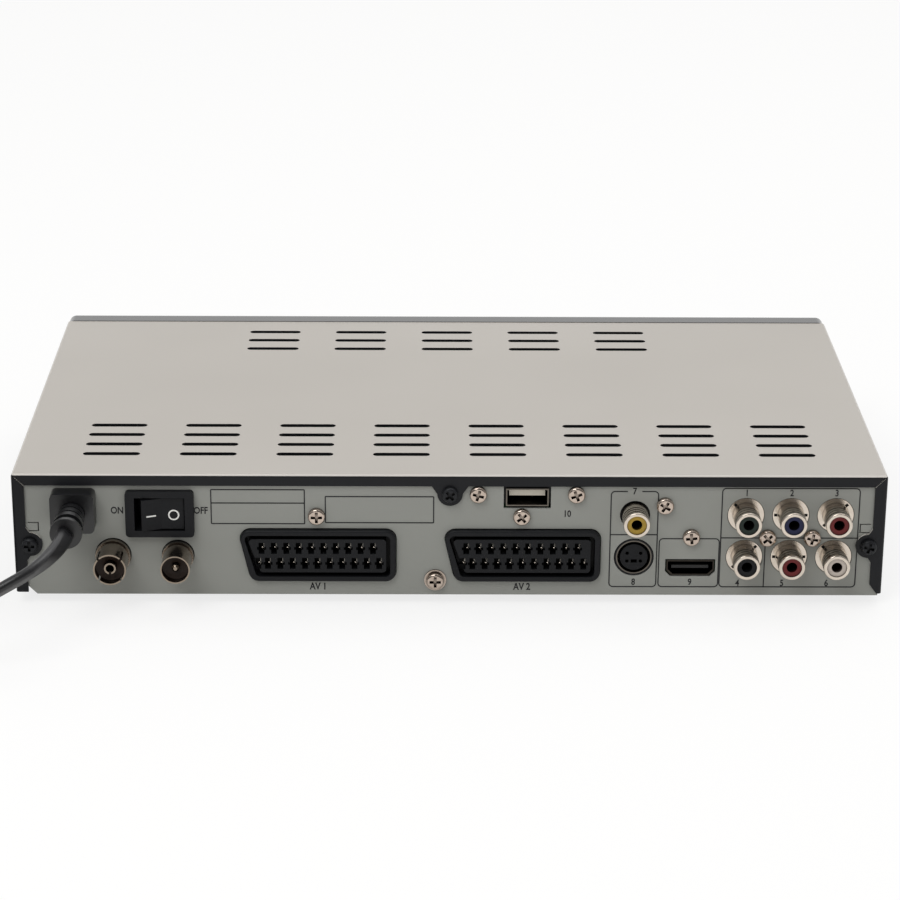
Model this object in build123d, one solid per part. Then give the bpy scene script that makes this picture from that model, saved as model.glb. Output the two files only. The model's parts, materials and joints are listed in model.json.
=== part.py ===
from build123d import *
import os
from math import cos, pi, radians, sin, sqrt, tan

# Recording set-top box: bent steel case, rear sockets, mains switch, boards and a captive mains lead.
# Millimetres, +Z up. Seen from behind, +X is to the right and the rear wall faces -Y.
# The origin is on the floor, under the middle of the box with its sockets and buttons.

# Case
case_width = 268.0
case_depth = 149.0
case_height = 40.0
sheet = 0.8
bend_radius = 1.0
cover_gap = 0.3
top_flange = 3.7
side_flange = 3.8
cover_lift = 0.9
flange_bevel_width = 2.2
flange_bevel_height = 3.0
tab_radius = 3.9
tab_flare = 5.6
mitre_gap = 0.3
lance_width = 3.4
lance_height = 3.1
lance_gap = 0.35
lip_height = 9.0
front_lip_height = 5.0
corner_relief = 5.3
overrun = 1.0
fit_gap = 0.2
screw_gap = 0.1

# Vent slots, in rows across the cover
vent_length = 17.7
vent_width = 2.7
vent_pitch = 30.0
rear_vent_row = 8.5
rear_vent_inset = 17.7
rear_vent_groups = 8
rear_vent_rows = 4
front_vent_row = 9.0
front_vent_inset = 11.5
front_vent_groups = 5
front_vent_rows = 3

# Feet
foot_height = 3.0
foot_radius = 6.5
foot_chamfer = 0.6
foot_side_inset = 25.0
foot_end_inset = 20.0

# Front panel, its window and its buttons
front_depth = 8.0
front_rise = 0.2
front_wall = 2.2
front_round = 2.5
window_width = 132.0
window_height = 20.0
window_thick = 1.6
window_ledge = 3.0
window_gap = 0.1
button_gap = 0.35
button_proud = 0.8
button_flange = 1.2
button_flange_thick = 1.0
button_travel = 0.5
button_edge = 0.3
standby_radius = 5.0
standby_gap = 22.4
channel_radius = 4.0
channel_gap = 11.7
channel_pitch = 18.8
plunger_radius = 1.6
plunger_reach = 1.0
plunger_in = 1.4
plunger_gap = 0.2
stem_radius = 2.0

# Boards
board_thick = 1.6
standoff_height = 4.2
standoff_radius = 3.0
post_inset = 4.0
main_board_gap = 3.8
main_board_left_gap = 11.9
main_board_right_gap = 4.9
main_post_rear_inset = 22.0
boards_gap = 14.6
power_board_width = 108.0
power_board_depth = 55.0
power_board_inset = 6.0
power_board_left_gap = 4.9
front_board_inset = 24.0
front_board_height = 28.0
front_board_setback = 2.0
front_post_radius = 2.6

# Screws
cover_head_radius = 2.45
cover_head_height = 1.9
cover_shank_radius = 1.4
cover_shank_length = 6.0
panel_head_radius = 2.65
panel_head_height = 1.7
panel_shank_radius = 1.3
panel_shank_length = 4.5
earth_washer_radius = 3.4
earth_washer_thick = 0.6
earth_lug_width = 8.0
earth_lug_thick = 1.2
earth_lug_reach = 6.0
earth_lug_drop = 3.0
board_head_radius = 2.4
board_head_height = 1.0
board_shank_radius = 1.1
board_shank_length = 4.4
recess_width = 0.9
recess_turn = 37.0
recess_depth = 0.9
recess_span_share = 0.66
head_round_share = 0.45

# Mains switch: bezel in the wall, rocker on two stubs, four tabs behind
switch_bezel_width = 21.0
switch_bezel_height = 15.0
switch_bezel_proud = 2.0
switch_bezel_round = 1.2
switch_body_width = 19.2
switch_body_height = 13.2
switch_body_depth = 13.0
switch_well_width = 15.4
switch_well_height = 10.8
switch_floor = 2.0
rocker_width = 12.9
rocker_height = 10.0
rocker_valley = 1.2
rocker_keel = 3.2
rocker_wing = 2.4
rocker_stub_radius = 1.0
rocker_stub_reach = 0.8
rocker_stub_gap = 0.05
rocker_pivot_depth = 3.4
rocker_half_angle = 10.0
terminal_thick = 0.8
terminal_width = 3.0
terminal_length = 7.0
terminal_spread_x = 9.0
terminal_spread_z = 6.0

# Cord grip: block and ribbed boot, moulded in one
grip_width = 13.4
grip_height = 12.7
grip_proud = 6.0
grip_round = 1.6
grip_neck = 1.4
grip_inside = 3.0
boot_length = 15.5
boot_root_radius = 3.2
boot_tip_radius = 3.5
boot_rib_root_radius = 4.0
boot_rib_tip_radius = 4.6
boot_disc_radius = 4.85
boot_disc_thick = 1.6
boot_rib_thick = 2.3
boot_rib_count = 3

# Aerial sockets
antenna_proud = 12.0
antenna_in_radius = 5.0
antenna_in_bore = 4.55
antenna_in_collar = 5.4
antenna_out_radius = 4.5
antenna_out_bore = 4.1
antenna_out_collar = 4.85
antenna_collar_proud = 2.0
antenna_floor = 1.5
antenna_slit = 0.7
antenna_slit_depth = 6.0
antenna_slit_turn = 45.0
contact_radius = 1.8
contact_bore = 1.3
contact_slit = 0.8
contact_setback = 1.0
pin_radius = 1.15
tuner_depth = 46.0
tuner_wall = 0.5
tuner_margin = 9.0
tuner_rise = 6.4

# 21-way sockets
av_width = 48.75
av_height = 17.1
av_slant = 4.0
av_round = 3.2
av_inner_round_share = 0.35
av_rim_round = 0.7
av_proud = 1.6
av_wall = 1.75
av_channel = 1.3
av_setback = 0.4
av_channel_depth = 4.5
av_body_depth = 12.0
av_contact_pitch = 3.81
av_contact_count = 10
av_row_gap = 5.0
av_row_stagger = 1.9
av_row_shift = 1.1
av_end_contact = 3.0
av_slot_width = 1.8
av_slot_height = 3.7
av_slot_depth = 5.0
av_blade_thick = 0.4
av_ear_width = 8.0
av_ear_depth = 6.0
av_ear_rise = 2.8

# Flat serial socket and its bracket
data_cut_width = 14.5
data_cut_height = 7.2
data_width = 13.1
data_height = 5.7
data_wall = 0.4
data_depth = 14.0
data_tongue_width = 11.0
data_tongue_height = 1.8
data_tongue_lift = 0.8
data_tongue_setback = 2.0
data_screw_spread = 30.1
data_bracket_depth = 5.0
data_bracket_height = 8.4
data_bracket_end = 4.0

# Flat digital video socket with its screw tab
digital_cut_width = 15.5
digital_cut_height = 5.7
digital_width = 14.7
digital_height = 5.0
digital_bevel = 1.6
digital_wall = 0.4
digital_depth = 11.0
digital_tongue_width = 11.4
digital_tongue_height = 1.0
digital_tongue_setback = 1.0
digital_tab_width = 7.0
digital_tab_thick = 1.2
digital_tab_end = 2.8

# Phono jacks
phono_pitch_x = 13.8
phono_hole_radius = 5.75
phono_flange_radius = 5.55
phono_flange_thick = 0.6
phono_radius = 4.05
phono_wall = 1.0
phono_rim_round = 0.35
phono_proud = 8.8
phono_groove = 0.3
phono_groove_width = 0.6
phono_groove_back = 1.4
phono_groove_pitch = 1.6
phono_groove_count = 3
phono_bore = 1.65
phono_setback = 0.5
phono_notch_place = 4.65
phono_notch_length = 1.0
phono_notch_width = 0.9
phono_notch_turns = (135.0, 0.0, 45.0, 45.0, 0.0, 135.0)
phono_margin = 6.9
phono_depth = 13.0
video_hole_radius = 4.65
video_width = 14.6
video_depth = 14.0
video_ear_width = 5.0
video_ear_height = 8.0

# Round four-pin video socket
din_hole_radius = 6.2
din_face_radius = 5.95
din_shield_radius = 5.5
din_shield_wall = 0.35
din_groove = 0.9
din_groove_depth = 6.0
din_pin_radius = 0.55
din_pin_depth = 5.0
din_pin_spread_x = 4.2
din_pin_spread_z = 2.6
din_key_width = 1.9
din_key_height = 1.1

# Pieces on the boards
chip_size = 24.0
chip_thick = 2.0
memory_width = 12.0
memory_depth = 9.0
memory_thick = 1.2
sink_height = 12.0
sink_foot = 3.0
sink_fin = 1.5
sink_fin_count = 6
plate_sink_thick = 3.0
plate_sink_depth = 30.0
plate_sink_height = 22.0
small_cap_radius = 4.0
small_cap_height = 12.0
bulk_cap_radius = 8.0
bulk_cap_height = 22.0
cap_dent = 0.5
transformer_width = 24.0
transformer_depth = 22.0
transformer_height = 20.0
transformer_core = 6.0
transformer_winding_inset = 2.0
choke_width = 16.0
choke_depth = 14.0
choke_height = 15.0
choke_base = 3.0
fuse_radius = 2.6
fuse_length = 20.0
fuse_clip = 4.0
fuse_lift = 2.0
display_width = 50.0
display_height = 17.0
display_thick = 5.6
display_mask = 0.8
eye_width = 6.0
eye_height = 7.0
eye_thick = 3.0
eye_lens_radius = 2.4
tact_size = 6.0
tact_thick = 3.4
ribbon_width = 12.0
ribbon_thick = 0.8
ribbon_bend = 4.0
ribbon_rise = 8.0
wire_radius = 0.9
wire_bend = 5.0
wire_side_run = 14.0
wire_board_inset = 6.0

# Mains lead: a flat two-core cord, 5.2 mm across, with a two-pin plug
cord_width = 5.2
cord_straight = 8.0
cord_arc_share = 0.45
coil_across_share = 12.0
coil_layers = 2
coil_layer_turns = 3.625
coil_turn_gap = 0.7
coil_lift = 1.2
coil_tail = 26.0
tie_band = 5.0
tie_thick = 0.8
tie_gap = 0.3
plug_width = 35.0
plug_thick = 13.7
plug_length = 34.0
plug_neck_width = 15.0
plug_nose_share = 0.45
plug_round = 2.4
plug_pin_radius = 2.0
plug_pin_length = 19.0
plug_pin_spread = 19.0

# Places across and up the rear wall, as shares of the case's width and height
cord_grip_x_share = -0.4296
cord_grip_z_share = 0.722
switch_x_share = -0.3317
switch_z_share = 0.681
antenna_in_x_share = -0.3866
antenna_out_x_share = -0.3123
antenna_z_share = 0.328
av_left_x_share = -0.1527
av_right_x_share = 0.0824
av_z_share = 0.3335
av_screw_z_share = 0.655
data_x_share = 0.0884
data_z_share = 0.811
data_screw_z_share = 0.838
video_x_share = 0.2122
video_z_share = 0.668
din_z_share = 0.317
video_screw_x_share = 0.2463
video_screw_z_share = 0.748
digital_x_share = 0.2776
digital_z_share = 0.23
digital_screw_z_share = 0.487
phono_x_share = 0.391
phono_high_z_share = 0.668
phono_low_z_share = 0.321
phono_screw_z_share = 0.484
earth_x_share = -0.0166
earth_z_share = 0.126
tab_side_x_share = 0.4817
tab_side_z_share = 0.42
tab_top_z_share = 0.845
lance_x_share = 0.4772
lance_z_share = 0.56

# Place of the remote control's eye, as a share of the window's width
eye_x_share = 0.345

# Places of what is on the boards, as shares of each board
chip_share = (0.62, 0.62)
memory_shares = ((0.42, 0.52), (0.42, 0.78), (0.76, 0.62))
main_cap_shares = ((0.27, 0.46), (0.27, 0.8), (0.84, 0.5), (0.84, 0.75), (0.92, 0.6))
ribbon_share = (0.52, 0.72)
plate_sink_share = (0.45, 0.5)
bulk_cap_share = (0.3, 0.5)
power_cap_shares = ((0.86, 0.24), (0.86, 0.5), (0.86, 0.76))
transformer_share = (0.62, 0.5)
choke_share = (0.14, 0.68)
fuse_share = (0.14, 0.28)

# Depths and heights that the rest hangs on
rear = (antenna_proud - sheet - case_depth - front_depth - button_proud) / 2
panel_out = rear + sheet
panel_in = panel_out + sheet
front = rear + case_depth
front_face = front + front_depth
front_inside = front_face - front_wall
base_z = foot_height
floor_z = base_z + sheet
top_z = base_z + case_height
front_top = top_z + front_rise
board_top = floor_z + standoff_height + board_thick
inside_width = case_width - 2 * (sheet + cover_gap)
front_board_y = front - front_board_setback
front_board_face = front_board_y + board_thick
front_middle = (base_z + front_top) / 2

# Mains lead's route to the coil after its straight start: x from the case's middle, y from its rear, z up
cord_route = (
    (-121.0, -43.0, 30.0),
    (-132.5, -48.8, 25.2),
    (-147.0, -51.4, 17.0),
    (-160.0, -52.3, 8.6),
    (-173.5, -52.7, 3.8),
    (-186.0, -52.7, 3.8),
)


def across(share):
    """A place across the case."""
    return share * case_width


def up(share):
    """A height on the rear wall."""
    return base_z + share * case_height


def around(middle, width):
    """The low and high end of a width about its middle."""
    return (middle - width / 2, middle + width / 2)


def place(span, share):
    """A share of the way along a span."""
    return span[0] + share * (span[1] - span[0])


def block(x, y, z):
    """A box between two corners, each argument its low and high end."""
    spans = (x, y, z)
    middle = [(span[0] + span[1]) / 2 for span in spans]
    size = [span[1] - span[0] for span in spans]
    return Pos(*middle) * Box(*size)


def bar(x, z, radius, y):
    """A round bar along Y."""
    return Pos(x, (y[0] + y[1]) / 2, z) * Rot(90, 0, 0) * Cylinder(radius, y[1] - y[0])


def post(x, y, radius, z):
    """A round bar along Z."""
    return Pos(x, y, (z[0] + z[1]) / 2) * Cylinder(radius, z[1] - z[0])


def plate(outline, y):
    """An outline drawn in X and Z, thickened along Y."""
    return extrude(Plane.XZ.offset(-y[1]) * outline, y[1] - y[0])


def screw(head_radius, head_height, shank_radius, shank_length):
    """A cross-head pan screw: its head stands on the plane z = 0, its shank goes down."""
    head = Pos(0, 0, head_height / 2) * Cylinder(head_radius, head_height)
    head = fillet(head.edges().group_by(Axis.Z)[-1], head_height * head_round_share)
    span = 2 * head_radius * recess_span_share
    recess = Pos(0, 0, head_height) * (
        Box(span, recess_width, 2 * recess_depth) + Box(recess_width, span, 2 * recess_depth)
    )
    shank = Pos(0, 0, -shank_length / 2) * Cylinder(shank_radius, shank_length)
    return head + shank - recess


def repeated(locations, outline):
    """One outline repeated at each place."""
    return Sketch() + [location * outline for location in locations]


# Places of the screws
cover_screw_places = (
    (-across(tab_side_x_share), up(tab_side_z_share)),
    (0, up(tab_top_z_share)),
    (across(tab_side_x_share), up(tab_side_z_share)),
)
data_x = across(data_x_share)
data_z = up(data_z_share)
phono_x = across(phono_x_share)
phono_columns = (phono_x - phono_pitch_x, phono_x, phono_x + phono_pitch_x)
av_places = (across(av_left_x_share), across(av_right_x_share))
earth_place = (across(earth_x_share), up(earth_z_share))
panel_screw_places = (
    (av_places[0], up(av_screw_z_share)),
    (av_places[1], up(av_screw_z_share)),
    (data_x - data_screw_spread / 2, up(data_screw_z_share)),
    (data_x + data_screw_spread / 2, up(data_screw_z_share)),
    (across(video_screw_x_share), up(video_screw_z_share)),
    (across(digital_x_share), up(digital_screw_z_share)),
    (phono_x - phono_pitch_x / 2, up(phono_screw_z_share)),
    (phono_x + phono_pitch_x / 2, up(phono_screw_z_share)),
)
phono_jacks = {
    "green": (phono_columns[0], up(phono_high_z_share)),
    "blue": (phono_columns[1], up(phono_high_z_share)),
    "red_high": (phono_columns[2], up(phono_high_z_share)),
    "black": (phono_columns[0], up(phono_low_z_share)),
    "red_low": (phono_columns[1], up(phono_low_z_share)),
    "white": (phono_columns[2], up(phono_low_z_share)),
}
video_place = (across(video_x_share), up(video_z_share))
din_place = (across(video_x_share), up(din_z_share))
digital_place = (across(digital_x_share), up(digital_z_share))
switch_place = (across(switch_x_share), up(switch_z_share))
grip_place = (across(cord_grip_x_share), up(cord_grip_z_share))
antenna_in_place = (across(antenna_in_x_share), up(antenna_z_share))
antenna_out_place = (across(antenna_out_x_share), up(antenna_z_share))
boot_end = panel_out - grip_proud - boot_length

# Spans of the boards
power_left = power_board_left_gap - inside_width / 2
power_x = (power_left, power_left + power_board_width)
power_y = (front - power_board_inset - power_board_depth, front - power_board_inset)
main_x = (main_board_left_gap - inside_width / 2, inside_width / 2 - main_board_right_gap)
main_y = (panel_in + main_board_gap, power_y[0] - boards_gap)
front_x = around(0, case_width - 2 * front_board_inset)
front_z = around(front_middle, front_board_height)


def corner_places(x, y, rows_apart, columns):
    """Places of a board's posts, with the last row near the board's front edge."""
    middle_y = y[1] - post_inset - rows_apart / 2
    grid = GridLocations(x[1] - x[0] - 2 * post_inset, rows_apart, 2, 2)
    if columns > 2:
        grid = GridLocations((x[1] - x[0] - 2 * post_inset) / 2, rows_apart, columns, 2)
    middle_x = (x[0] + x[1]) / 2
    return [(middle_x + spot.position.X, middle_y + spot.position.Y) for spot in grid]


main_post_rows = main_y[1] - main_y[0] - post_inset - main_post_rear_inset
floor_posts = corner_places(main_x, main_y, main_post_rows, 3)
floor_posts += corner_places(power_x, power_y, power_board_depth - 2 * post_inset, 2)
front_posts = [
    (x, z)
    for x in (front_x[0] + post_inset, front_x[1] - post_inset)
    for z in (front_z[0] + post_inset, front_z[1] - post_inset)
]


# Case
def screw_tab(edge_offset):
    """Outline of a screw tab that hangs from a flange's edge above it."""
    web = Polygon(
        (-tab_flare, edge_offset + sheet),
        (-tab_flare, edge_offset),
        (-tab_radius, 0),
        (tab_radius, 0),
        (tab_flare, edge_offset),
        (tab_flare, edge_offset + sheet),
        align=None,
    )
    return Circle(tab_radius) + web


def make_top_cover():
    cover_low = base_z + cover_lift
    outer = block(around(0, case_width), (rear, front), (cover_low, top_z))
    bends = outer.edges().filter_by(Axis.Y).group_by(Axis.Z)[-1]
    bends += outer.faces().sort_by(Axis.Y)[0].edges().sort_by(Axis.Z)[1:]
    cover = fillet(bends, bend_radius)
    cover -= block(
        around(0, case_width - 2 * sheet), (panel_out, front + overrun), (base_z - overrun, top_z - sheet)
    )
    cover -= block(
        around(0, case_width - 2 * side_flange),
        (rear - overrun, panel_out + overrun),
        (base_z - overrun, top_z - top_flange),
    )
    flange_x = case_width / 2 - side_flange
    side_offset = flange_x - across(tab_side_x_share)
    top_offset = top_z - top_flange - up(tab_top_z_share)
    tabs = Pos(0, up(tab_top_z_share)) * screw_tab(top_offset)
    for side in (-1, 1):
        spot = Pos(side * across(tab_side_x_share), up(tab_side_z_share))
        tabs += spot * Rot(0, 0, -side * 90) * screw_tab(side_offset)
    cover += plate(tabs, (rear, panel_out))
    slope = flange_bevel_height / flange_bevel_width
    for side in (-1, 1):
        bevel = Polygon(
            (side * (flange_x - overrun), cover_low - overrun),
            (side * (flange_x + flange_bevel_width + overrun / slope), cover_low - overrun),
            (side * (flange_x - overrun), cover_low + flange_bevel_height + overrun * slope),
            align=None,
        )
        cover -= plate(bevel, (rear - overrun, panel_out + overrun))
    mitre_length = sqrt(2) * (side_flange - bend_radius)
    for side in (-1, 1):
        slit = Pos((mitre_length - mitre_gap) / 2, 0) * Rectangle(mitre_length + mitre_gap, mitre_gap)
        corner = Pos(side * flange_x, top_z - top_flange) * Rot(0, 0, 90 - side * 45)
        cover -= plate(corner * slit, (rear - overrun, panel_out))
    for x, z in cover_screw_places:
        cover -= bar(x, z, cover_shank_radius + fit_gap, (rear - overrun, panel_out + overrun))
    slot = SlotOverall(vent_length, vent_width)
    rear_middle = rear + rear_vent_inset + (rear_vent_rows - 1) * rear_vent_row / 2
    front_row_middle = front - front_vent_inset - (front_vent_rows - 1) * front_vent_row / 2
    rear_field = GridLocations(vent_pitch, rear_vent_row, rear_vent_groups, rear_vent_rows)
    front_field = GridLocations(vent_pitch, front_vent_row, front_vent_groups, front_vent_rows)
    for middle, field in ((rear_middle, rear_field), (front_row_middle, front_field)):
        slots = Pos(0, middle, top_z - sheet - overrun) * repeated(field, slot)
        cover -= extrude(slots, sheet + 2 * overrun)
    return cover


def digital_outline(width, height, bevel):
    """Flat socket outline with its two lower corners cut off."""
    return Polygon(
        (-width / 2, height / 2),
        (-width / 2, bevel - height / 2),
        (bevel - width / 2, -height / 2),
        (width / 2 - bevel, -height / 2),
        (width / 2, bevel - height / 2),
        (width / 2, height / 2),
        align=None,
    )


def av_outline(inset):
    """Outline of a 21-way socket, with one slanted side, drawn in by an inset."""
    half_width = av_width / 2 - inset
    half_height = av_height / 2 - inset
    shape = Polygon(
        (-half_width, half_height),
        (av_slant - half_width, -half_height),
        (half_width, -half_height),
        (half_width, half_height),
        align=None,
    )
    return fillet(shape.vertices(), max(av_round - inset, av_round * av_inner_round_share))


def wall_holes():
    """Every opening of the rear wall."""
    body = (switch_body_width + 2 * fit_gap, switch_body_height + 2 * fit_gap)
    holes = Pos(*switch_place) * Rectangle(*body)
    neck = (grip_width - 2 * grip_neck + 2 * fit_gap, grip_height - 2 * grip_neck + 2 * fit_gap)
    holes += Pos(*grip_place) * Rectangle(*neck)
    holes += Pos(*antenna_in_place) * Circle(antenna_in_collar + fit_gap)
    holes += Pos(*antenna_out_place) * Circle(antenna_out_collar + fit_gap)
    for x in av_places:
        holes += Pos(x, up(av_z_share)) * av_outline(-fit_gap)
    holes += Pos(data_x, data_z) * Rectangle(data_cut_width, data_cut_height)
    holes += Pos(*digital_place) * digital_outline(digital_cut_width, digital_cut_height, digital_bevel)
    holes += Pos(*video_place) * Circle(video_hole_radius)
    holes += Pos(*din_place) * Circle(din_hole_radius)
    for spot in phono_jacks.values():
        holes += Pos(*spot) * Circle(phono_hole_radius)
    for spot in panel_screw_places + (earth_place,):
        holes += Pos(*spot) * Circle(panel_shank_radius + fit_gap)
    for spot in cover_screw_places:
        holes += Pos(*spot) * Circle(cover_shank_radius + screw_gap)
    for side in (-1, 1):
        spot = Pos(side * across(lance_x_share), up(lance_z_share))
        tongue = Rectangle(lance_width - lance_gap, lance_height - 2 * lance_gap)
        holes += spot * (Rectangle(lance_width, lance_height) - Pos(side * lance_gap / 2, 0) * tongue)
    return holes


def make_chassis():
    tray = block(around(0, inside_width), (panel_out, front), (base_z, floor_z))
    tray += block(around(0, inside_width), (panel_out, panel_in), (base_z, top_z - sheet - cover_gap))
    tray += block(around(0, inside_width), (front - sheet, front), (base_z, base_z + front_lip_height))
    for side in (-1, 1):
        lip = around(side * (inside_width - sheet) / 2, sheet)
        tray += block(lip, (panel_in + corner_relief, front), (base_z, base_z + lip_height))
        corner = side * inside_width / 2
        relief = Polygon(
            (corner, base_z),
            (corner - side * corner_relief, base_z),
            (corner, base_z + corner_relief),
            align=None,
        )
        tray -= plate(relief, (panel_out - overrun, panel_in + corner_relief))
    tray -= plate(wall_holes(), (panel_out - overrun, panel_in + overrun))
    for x, y in floor_posts:
        tray += post(x, y, standoff_radius, (floor_z, floor_z + standoff_height))
        tray -= post(x, y, board_shank_radius + screw_gap, (floor_z, floor_z + standoff_height + overrun))
    return tray


def make_feet():
    feet = []
    for side in (-1, 1):
        for y in (rear + foot_end_inset, front - foot_end_inset):
            x = side * (case_width / 2 - foot_side_inset)
            foot = post(x, y, foot_radius, (0, foot_height))
            feet.append(chamfer(foot.edges().group_by(Axis.Z)[0], foot_chamfer))
    return feet


def make_cover_screws():
    one = screw(cover_head_radius, cover_head_height, cover_shank_radius, cover_shank_length)
    turned = [Rot(90, 0, 0) * Rot(0, 0, n * recess_turn) * one for n in range(len(cover_screw_places))]
    return [Pos(x, rear, z) * each for each, (x, z) in zip(turned, cover_screw_places)]


def make_panel_screws():
    sizes = (panel_head_radius, panel_head_height, panel_shank_radius, panel_shank_length)
    one = screw(*sizes)
    turned = [Rot(90, 0, 0) * Rot(0, 0, n * recess_turn) * one for n in range(len(panel_screw_places))]
    screws = [Pos(x, panel_out, z) * each for each, (x, z) in zip(turned, panel_screw_places)]
    washer = Pos(0, 0, earth_washer_thick / 2) * Cylinder(earth_washer_radius, earth_washer_thick)
    captive = Pos(0, 0, earth_washer_thick) * screw(*sizes) + washer
    screws.append(Pos(earth_place[0], panel_out, earth_place[1]) * Rot(90, 0, 0) * captive)
    return screws


def make_earth_lug():
    x, z = earth_place
    wide = around(x, earth_lug_width)
    top = board_top + earth_lug_thick
    lug = block(wide, (panel_in, panel_in + earth_lug_thick), (z - earth_lug_drop, top))
    lug += block(wide, (panel_in, main_y[0] + earth_lug_reach), (board_top, top))
    hole = (panel_in - overrun, panel_in + earth_lug_thick + overrun)
    return lug - bar(x, z, panel_shank_radius + screw_gap, hole)


def make_board_screws():
    one = screw(board_head_radius, board_head_height, board_shank_radius, board_shank_length)
    screws = [Pos(x, y, board_top) * one for x, y in floor_posts]
    screws += [Pos(x, front_board_y, z) * Rot(90, 0, 0) * one for x, z in front_posts]
    return screws


# Front panel
buttons = {
    "standby": (window_width / 2 + standby_gap, standby_radius),
    "channel_up": (-window_width / 2 - channel_gap, channel_radius),
    "channel_down": (-window_width / 2 - channel_gap - channel_pitch, channel_radius),
}


def make_front_panel():
    panel = block(around(0, case_width), (front, front_face), (base_z, front_top))
    rounds = panel.edges().filter_by(Axis.Y) + panel.faces().sort_by(Axis.Y)[-1].edges()
    panel = fillet(rounds, front_round)
    panel -= block(
        around(0, case_width - 2 * front_wall),
        (front - overrun, front_inside),
        (base_z + front_wall, front_top - front_wall),
    )
    seat = Rectangle(window_width + 2 * window_gap, window_height + 2 * window_gap)
    sight = Rectangle(window_width - 2 * window_ledge, window_height - 2 * window_ledge)
    panel -= plate(Pos(0, front_middle) * seat, (front_face - window_thick, front_face + overrun))
    panel -= plate(Pos(0, front_middle) * sight, (front_inside - overrun, front_face))
    for x, radius in buttons.values():
        panel -= bar(x, front_middle, radius + button_gap, (front_inside - overrun, front_face + overrun))
    for x, z in front_posts:
        panel += bar(x, z, front_post_radius, (front_board_face, front_inside))
        panel -= bar(x, z, board_shank_radius + screw_gap, (front_board_face - overrun, front_inside))
    return panel


def make_display_window():
    size = Rectangle(window_width, window_height)
    return plate(Pos(0, front_middle) * size, (front_face - window_thick, front_face))


def button_depths():
    """Flange front, flange back and stem tip of every button."""
    flange_front = front_inside - button_gap
    flange_back = flange_front - button_flange_thick
    tip = front_board_face + tact_thick + plunger_reach
    return flange_front, flange_back, tip


def make_button(name):
    x, radius = buttons[name]
    flange_front, flange_back, tip = button_depths()
    cap = bar(x, front_middle, radius, (flange_back, front_face + button_proud))
    cap = fillet(cap.edges().group_by(Axis.Y)[-1], button_edge)
    cap += bar(x, front_middle, radius + button_flange, (flange_back, flange_front))
    return cap + bar(x, front_middle, stem_radius, (tip, flange_back))


def make_plunger(name):
    tip = button_depths()[2]
    back = front_board_face + tact_thick - plunger_in
    return bar(buttons[name][0], front_middle, plunger_radius, (back, tip))


def make_tact_switches():
    switches = []
    for x, _ in buttons.values():
        front_y = front_board_face + tact_thick
        body = block(around(x, tact_size), (front_board_face, front_y), around(front_middle, tact_size))
        well_back = front_y - plunger_in - button_travel - button_gap
        well = bar(x, front_middle, plunger_radius + plunger_gap, (well_back, front_y + overrun))
        switches.append(body - well)
    return switches


def make_front_board():
    board = block(front_x, (front_board_y, front_board_face), front_z)
    through = (front_board_y - overrun, front_board_face + overrun)
    for x, z in front_posts:
        board -= bar(x, z, board_shank_radius + screw_gap, through)
    return board


def make_display_module():
    depth = (front_board_face, front_board_face + display_thick)
    module = block(around(0, display_width), depth, around(front_middle, display_height))
    mask = Rectangle(display_width - 2 * front_wall, display_height - 2 * front_wall)
    return module - plate(Pos(0, front_middle) * mask, (depth[1] - display_mask, depth[1] + overrun))


def make_ir_receiver():
    x = window_width * eye_x_share
    face = front_board_face + eye_thick
    case = block(around(x, eye_width), (front_board_face, face), around(front_middle, eye_height))
    return case + Pos(x, face, front_middle) * Sphere(eye_lens_radius)


def make_ribbon_cable():
    x = place(main_x, ribbon_share[0])
    y = place(main_y, ribbon_share[1])
    high = board_top + ribbon_rise
    path = FilletPolyline((x, y, board_top), (x, y, high), (x, front_board_y, high), radius=ribbon_bend)
    return sweep(Pos(x, y, board_top) * Rectangle(ribbon_width, ribbon_thick), path=path)


# Boards and what is on them
def make_floor_board(span_x, span_y):
    board = block(span_x, span_y, (board_top - board_thick, board_top))
    through = (board_top - board_thick - overrun, board_top + overrun)
    for x, y in floor_posts:
        board -= post(x, y, board_shank_radius + screw_gap, through)
    return board


def on_board(x, y, share, width, depth, z):
    """A box on a board, about a share of the board."""
    return block(around(place(x, share[0]), width), around(place(y, share[1]), depth), z)


def make_chips():
    high = (board_top, board_top + chip_thick)
    chips = [on_board(main_x, main_y, chip_share, chip_size, chip_size, high)]
    low = (board_top, board_top + memory_thick)
    for share in memory_shares:
        chips.append(on_board(main_x, main_y, share, memory_width, memory_depth, low))
    return chips


def make_heatsinks():
    foot = board_top + chip_thick
    high = (foot, foot + sink_height)
    finned = on_board(main_x, main_y, chip_share, chip_size, chip_size, high)
    gap = (chip_size - sink_fin_count * sink_fin) / (sink_fin_count - 1)
    middle = (place(main_x, chip_share[0]), place(main_y, chip_share[1]))
    for spot in GridLocations(sink_fin + gap, 0, sink_fin_count - 1, 1):
        finned -= block(
            around(middle[0] + spot.position.X, gap),
            around(middle[1], chip_size + 2 * overrun),
            (foot + sink_foot, high[1] + overrun),
        )
    flat = (board_top, board_top + plate_sink_height)
    return [finned, on_board(power_x, power_y, plate_sink_share, plate_sink_thick, plate_sink_depth, flat)]


def capacitor(x, y, radius, height):
    """An upright can with a dented top."""
    can = post(x, y, radius, (board_top, board_top + height))
    can = fillet(can.edges().group_by(Axis.Z)[-1], cap_dent)
    dent = (board_top + height - cap_dent, board_top + height + overrun)
    return can - post(x, y, radius - 2 * cap_dent, dent)


def make_capacitors():
    cans = []
    for x, y, shares in ((main_x, main_y, main_cap_shares), (power_x, power_y, power_cap_shares)):
        for share in shares:
            spot = (place(x, share[0]), place(y, share[1]))
            cans.append(capacitor(*spot, small_cap_radius, small_cap_height))
    bulk = (place(power_x, bulk_cap_share[0]), place(power_y, bulk_cap_share[1]))
    return cans + [capacitor(*bulk, bulk_cap_radius, bulk_cap_height)]


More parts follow.
